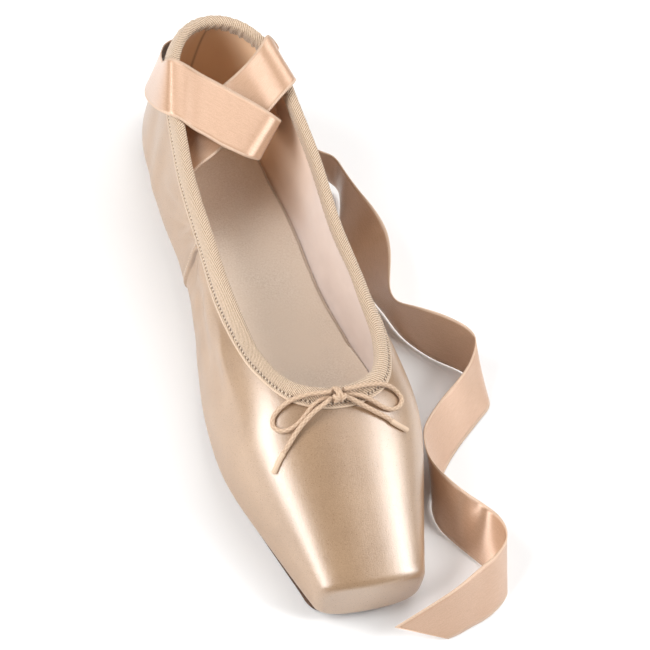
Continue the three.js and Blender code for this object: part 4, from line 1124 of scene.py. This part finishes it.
# Rows on the satin: side, share, depths of the two edges, height over it
OUTER_ROUND_HEEL = [
    (-1, 0.122, 4.5, 27, 2.3),
    (-1, 0.088, 11, 33, 2.4),
    (-1, 0.05, 17, 39, 2.9),
    (-1, 0.008, 22, 44, 3),
    (1, 0.03, 26, 47, 3.7),
]
OUTER_TAIL = [
    (25, 141.5, 28.5, 29.5, 143, 7.5),
    (33, 127, 26, 40, 127, 5.5),
    (39.5, 106.5, 23.5, 49.5, 103.5, 4),
    (46.5, 102.5, 23, 53, 100, 2.5),
    (48.5, 94.5, 23, 52, 93, 1.5),
    (51, 85, 23, 49, 85, 1),
    (56, 75.5, 20.5, 46.5, 76, 0.8),
    (59, 67.5, 17.5, 45, 67.5, 0.8),
    (56, 55, 19.5, 45, 60.5, 0.8),
    (51.5, 44, 20.5, 47, 53, 0.8),
    (49, 37, 20.5, 49.5, 47, 0.8),
    (49.5, 31, 21, 52.5, 38.5, 0.8),
    (55.5, 26, 23, 56, 26.5, 0.8),
    (66.5, 20.5, 22, 64.5, 15, 0.8),
    (74.5, 14, 21, 75.5, 6, 0.8),
    (77.5, 10.5, 18, 81, -2.5, 0.8),
    (74.5, 4.5, 15.5, 81, -10.5, 0.8),
    (67, -3.5, 17, 74, -16.5, 0.8),
    (52, -15, 17, 61.5, -26.5, 0.8),
    (42.5, -24.5, 17.5, 53, -34.5, 0.8),
    (40, -30.5, 18, 46.5, -42.5, 0.8),
    (38.5, -40.5, 20.5, 41, -50, 0.8),
    (42.5, -49, 20, 40.5, -59, 0.8),
    (47, -56, 20, 44, -66.5, 0.8),
    (56.5, -59, 12.5, 50, -76, 0.8),
    (59.5, -67, 15, 55, -83.5, 0.8),
    (58, -76, 17.5, 58, -90, 0.8),
    (51.5, -82.5, 18.5, 54.5, -94.5, 0.8),
    (43, -87, 19, 46.5, -99.5, 0.8),
    (28.5, -94.5, 19.5, 37, -102.5, 0.8),
    (18.5, -97.5, 16.5, 32.5, -104, 0.8),
    (5, -100.5, 10, 27.5, -105, 0.8),
]
INNER_ACROSS = [
    (-22.6, 108.5, 36, -23.8, 88, 33),
    (-20, 110, 42, -22, 90, 38.5),
    (-16.5, 112.3, 46, -18.5, 91.5, 42),
    (-10.9, 116, 49.5, -12.1, 94, 44.8),
    (-3.5, 120.5, 52, -5, 98, 46.8),
    (3, 124, 54, 3.5, 101.5, 49),
    (8, 126.5, 57, 12.5, 106, 52),
    (12.2, 129, 60.5, 17.4, 109, 56),
    (15.5, 131.5, 63.2, 21, 111, 58.6),
    (19, 135.5, 63.6, 25.8, 115, 59),
]
INNER_ROUND_HEEL = [
    (1, 0.13, 1.5, 23, 3.5),
    (1, 0.09, 8, 30, 2.5),
    (1, 0.045, 15, 37, 1.6),
    (1, 0.005, 22, 43, 1.4),
    (-1, 0.035, 26, 46, 1.4),
]


def free_rows(rows):
    rows = np.array(rows, float)
    return rows[:, :3], rows[:, 3:]


def hugging_rows(rows):
    side, share, top, bottom, over = np.array(rows, float).T
    return skin.over(side, share, top, over), skin.over(side, share, bottom, over)


def soften(values, steps):
    """Values smoothed along their rows, with both ends held."""
    made = values.copy()
    for _ in range(steps):
        made[1:-1] = 0.5 * made[1:-1] + 0.25 * (made[:-2] + made[2:])
    return made


RIBBON_STEP = 0.9
RIBBON_ACROSS = 13


def make_ribbon(name, node, parts, smooth):
    """A ribbon between two edges, as a thin closed sheet whose edges are a little thicker."""
    upper_line, lower_line = (spline(np.concatenate(edge), 24) for edge in zip(*parts))
    middle = (upper_line + lower_line) / 2
    count = int(distances(middle)[-1] / RIBBON_STEP) + 1
    _, (top, bottom) = resampled(middle, count, [upper_line, lower_line])
    top, bottom = soften(top, smooth), soften(bottom, smooth)
    middle = (top + bottom) / 2
    way = distances(middle)
    travel = np.gradient(middle, axis=0)
    normal = unit(np.cross(travel, top - bottom))
    across = np.linspace(-1, 1, RIBBON_ACROSS)
    thick = RIBBON_CLOTH / 2 * np.where(np.abs(across) > 0.9, 1.25, 1.0)
    sheet = lerp(bottom[:, None], top[:, None], ((across + 1) / 2)[None, :, None])
    front = sheet + normal[:, None] * thick[None, :, None]
    back = sheet - normal[:, None] * thick[None, :, None]
    grid = np.concatenate([front, back[:, ::-1]], axis=1)
    v = np.concatenate([across, across[::-1], across[:1]]) * RIBBON_WIDTH / 2
    piece = grid_object(name, grid, way[:, None], v[None, :], [RIBBON], (False, True))
    own(piece, node)


OUTER_PARTS = [free_rows(OUTER_ACROSS), hugging_rows(OUTER_ROUND_HEEL), free_rows(OUTER_TAIL)]
INNER_PARTS = [free_rows(INNER_ACROSS), hugging_rows(INNER_ROUND_HEEL)]
make_ribbon("ribbon_outer", "outer_ribbon", OUTER_PARTS, 10)
make_ribbon("ribbon_inner", "inner_ribbon", INNER_PARTS, 6)

# Bow: rows give a place over the vamp and the cord's height over the satin

LOOP_LEFT = [
    (-5.1, -23.2, 4.4), (-8.8, -22.8, 4.1), (-12.4, -22, 3.4), (-16.2, -21.8, 2.9),
    (-20.1, -22, 2.4), (-24.1, -23.3, 1.4), (-26.3, -25.3, 1.35), (-26.7, -27.8, 1.35),
    (-24.9, -30.2, 1.35), (-22.1, -31, 1.35), (-18.9, -30.3, 1.4), (-15.8, -28.5, 1.6),
    (-12.4, -26, 2.4), (-10.2, -24.9, 2.45), (-7.7, -24.2, 2.5), (-5.5, -23.9, 2.6),
]
LOOP_RIGHT = [
    (0, -23.1, 4.4), (3.9, -22.8, 4.1), (8.1, -22.1, 3.4), (12.3, -21.7, 2.85),
    (16.5, -21.7, 2.85), (20.6, -22.3, 2.1), (23.5, -23.7, 1.35), (24.8, -26, 1.35),
    (23, -28.7, 1.35), (19.6, -30.1, 1.35), (16, -29.7, 1.4), (12, -27.7, 2),
    (8.4, -26, 2.65), (5.2, -24.8, 2.5), (1.9, -24, 2.55), (0.2, -23.8, 2.6),
]
END_LEFT = [
    (-5.3, -25.4, 4.2), (-7.2, -26.3, 4.1), (-9, -27.1, 3.9), (-12.4, -28.5, 3.6),
    (-15.8, -30.4, 3.2), (-19.4, -32.7, 2.4), (-22.6, -35.5, 1.7), (-25.7, -38.1, 1.35),
    (-27, -39.4, 1.35), (-29.2, -42.3, 1.35),
]
END_RIGHT = [
    (-0.4, -25.4, 4.2), (0.8, -25.9, 4), (2.8, -26.7, 3.6), (7.6, -29.1, 2.4),
    (11.9, -31.2, 1.6), (16.4, -33.5, 1.5), (19.2, -35.3, 1.5), (24.3, -37.3, 1.6),
]
KNOT = (-2.7, -24.4, 3.9)


def on_vamp(rows):
    """Points of the part, at heights over the vamp."""
    rows = np.atleast_2d(np.array(rows, float))
    t = LENGTH - BALL_FROM_TOE - rows[:, 1]
    low, high = np.full(len(rows), 10.0), np.full(len(rows), 90.0)
    surface, _ = narrowed(lambda z: last_distance(rows[:, 0], t, z) < 0, low, high)
    return np.stack([rows[:, 0], rows[:, 1], surface + rows[:, 2]], axis=1)


TIP_LENGTH = 8.5
CORD_SIDES = 32
STRANDS = 8
BRAID_PITCH = 2.3


def frames_along(line):
    """Two directions across a line of points, carried along it without twist."""
    tangent = unit(np.gradient(line, axis=0))
    normal = [unit(np.cross(tangent[0], (0.0, 0.0, 1.0)))]
    for forwards in tangent[1:]:
        normal.append(unit(normal[-1] - forwards * (normal[-1] @ forwards)))
    normal = np.array(normal)
    return normal, np.cross(tangent, normal)


def cord_mesh(line, tip, radius=CORD / 2):
    """Rings of a braided cord round a line, with a sealed tip if it has one: its grid, way and shade."""
    normal, other = frames_along(line)
    way = distances(line)
    angle = np.arange(CORD_SIDES) * 2 * math.pi / CORD_SIDES
    a = STRANDS / 2 * angle[None, :] + 2 * math.pi * way[:, None] / BRAID_PITCH
    b = STRANDS / 2 * angle[None, :] - 2 * math.pi * way[:, None] / BRAID_PITCH
    braid = np.maximum(np.cos(a), np.cos(b)) * 0.5 + 0.25 * np.cos(a) * np.cos(b)
    size = radius * (0.99 + 0.045 * braid)
    # Painted shade: darker in the braid's hollows, lighter on its crowns
    shade = np.clip(braid + 0.1, 0, 1)
    if tip:
        from_end = way[-1] - way[:, None]
        sealed = 1 - smoothstep(from_end, TIP_LENGTH - 0.35, TIP_LENGTH)
        body = radius * (1.14 + 0.06 * bell(from_end - TIP_LENGTH + 0.7, 0.35))
        size = lerp(size, body + 0 * angle[None, :], sealed)
        shade = lerp(shade, 0.85, sealed)
        size = size * (1 - 0.35 * (1 - smoothstep(from_end, 0, 0.35)))
    cosine, sine = np.cos(angle)[None, :, None], np.sin(angle)[None, :, None]
    outwards = cosine * normal[:, None] + sine * other[:, None]
    return line[:, None] + outwards * size[..., None], way, shade


def make_cord(name, rows, node, tip):
    """One free stretch of the drawstring."""
    path = spline(on_vamp(rows), 16)
    line, _ = resampled(path, int(distances(path)[-1] / 0.17) + 1)
    grid, way, shade = cord_mesh(line, tip)
    v = np.linspace(0, math.pi * CORD, CORD_SIDES + 1)[None, :]
    piece = grid_object(name, grid, way[:, None], v, [COTTON], (False, True), shade=shade)
    own(piece, node)


def make_knot():
    """The knot: the cord wrapped twice round the bow's middle, with its lobes below."""
    centre = on_vamp([KNOT])[0]
    turns = []
    for shift, tilt, height, depth in ((-0.75, 0.16, 2.75, 1.9), (0.8, -0.12, 2.6, 1.85)):
        angle = np.linspace(0, 2 * math.pi, 70)
        x = shift + tilt * np.sin(angle) * 2.2
        y = np.cos(angle) * height
        z = np.sin(angle) * depth
        turns.append(np.stack([x, y, z], axis=1))
    lobes = [
        [(-1.7, -1.3, 0.6), (-1.9, -2.3, 0.9), (-1.2, -3.1, 0.8), (-0.4, -2.7, 0.3), (-0.2, -1.5, -0.2)],
        [(1.6, -1.2, 0.5), (1.95, -2.2, 0.8), (1.3, -3.0, 0.7), (0.5, -2.6, 0.2), (0.3, -1.4, -0.3)],
        [(-1.5, 1.8, -0.4), (-0.6, 2.7, 0.5), (0.3, 3.1, 0.7), (1.2, 2.6, 0.4), (1.7, 1.6, -0.5)],
    ]
    turns += [spline(lobe, 12) for lobe in lobes]
    slope = -0.35
    points, faces, shades, first = [], [], [], 0
    for turn in turns:
        y = turn[:, 1] * math.cos(slope) - turn[:, 2] * math.sin(slope)
        z = turn[:, 1] * math.sin(slope) + turn[:, 2] * math.cos(slope)
        grid, _, shade = cord_mesh(np.stack([turn[:, 0], y, z], axis=1) + centre, False, CORD * 0.46)
        part_faces = quads(len(grid), CORD_SIDES, (False, True))[2]
        flat = grid.reshape(-1, 3)
        if looks_inwards(flat, part_faces):
            part_faces = part_faces[:, ::-1]
        points.append(flat)
        shades.append(shade.ravel())
        faces += (part_faces + first).tolist()
        for start in (0, (len(grid) - 1) * CORD_SIDES):
            faces.append([first + start + j for j in range(CORD_SIDES)])
        first += len(flat)
    shade = np.concatenate(shades)
    piece = mesh_object("knot_wraps", np.concatenate(points), faces, None, [COTTON], shade=shade)
    return own(piece, "bow_knot")


knot = make_knot()
make_cord("bow_loop_neg_x", LOOP_LEFT, "bow_loop_left", False)
make_cord("bow_loop_pos_x", LOOP_RIGHT, "bow_loop_right", False)
make_cord("bow_end_neg_x", END_LEFT, "bow_end_left", True)
make_cord("bow_end_pos_x", END_RIGHT, "bow_end_right", True)

# Floor, light and camera


def make_floor():
    size = 3.0
    data = bpy.data.meshes.new("floor")
    corners = [(-size, -size, 0), (size, -size, 0), (size, size, 0), (-size, size, 0)]
    data.from_pydata(corners, [], [(0, 1, 2, 3)])
    f = Finish("floor_white")
    data.materials.append(f.set(Base_Color=(0.95, 0.95, 0.95, 1.0), Roughness=0.9, Specular_IOR_Level=0.1))
    add_object("floor", data)


def area_light(name, place, target, turn, size, power):
    """A rectangular soft box that faces the target, turned about its own axis by some degrees."""
    light = bpy.data.lights.new(name, "AREA")
    light.shape = "RECTANGLE"
    light.size, light.size_y = size
    light.energy = power
    made = add_object(name, light)
    made.location = place
    made.rotation_mode = "QUATERNION"
    facing = (target - place).to_track_quat("-Z", "Y")
    made.rotation_quaternion = facing @ Quaternion((0.0, 0.0, 1.0), math.radians(turn))


AZIMUTH, ELEVATION, ROLL = math.radians(-37.08), math.radians(52.67), math.radians(22.64)
CAMERA_DISTANCE = 1.0
LIGHT_DISTANCE = 1.1
LOOK_AT = Vector((19.81, 28.45, 15.0)) * MM
FOCAL_PIXELS = 2568.0
FRAME_PIXELS = 650
SENSOR = 36.0


def camera_axes():
    """Right, up and back of the camera, rolled as the photograph is."""
    a, e = AZIMUTH, ELEVATION
    back = Vector((math.sin(a) * math.cos(e), -math.cos(a) * math.cos(e), math.sin(e)))
    right = Vector((math.cos(a), math.sin(a), 0))
    up = back.cross(right)
    turned = right * math.cos(ROLL) + up * math.sin(ROLL)
    return turned, back.cross(turned), back


def make_camera():
    right, up, back = camera_axes()
    data = bpy.data.cameras.new("camera")
    data.sensor_width = SENSOR
    data.lens = FOCAL_PIXELS / FRAME_PIXELS * SENSOR
    data.clip_start = 0.05
    camera = add_object("camera", data)
    turned = Matrix((right, up, back)).transposed().to_4x4()
    camera.matrix_world = Matrix.Translation(LOOK_AT + back * CAMERA_DISTANCE) @ turned
    bpy.context.scene.camera = camera
    return right, up, back


def make_lights(right, up, back):
    """Two long soft boxes that draw the bands along the toe, a soft one above the heel, a pale surround."""

    def soft_box(name, across, upwards, backwards, turn, size, power):
        place = LOOK_AT + (right * across + up * upwards + back * backwards).normalized() * LIGHT_DISTANCE
        area_light(name, place, LOOK_AT, turn, size, power)

    soft_box("left_box", -0.6, 0.14, 0.78, -38, (1.1, 0.44), 13.5)
    soft_box("right_box", 0.92, 0.08, 0.36, 70, (0.8, 0.34), 9.0)
    area_light("top_box", LOOK_AT + Vector((0.33, 0.48, 0.95)), LOOK_AT, 0, (0.9, 0.7), 6.5)
    world = bpy.data.worlds.new("surround")
    world.use_nodes = True
    background = world.node_tree.nodes["Background"].inputs
    background["Color"].default_value = (1.0, 1.0, 1.0, 1.0)
    background["Strength"].default_value = 0.17
    bpy.context.scene.world = world


make_floor()
make_lights(*make_camera())
bpy.context.scene.view_settings.view_transform = "Standard"
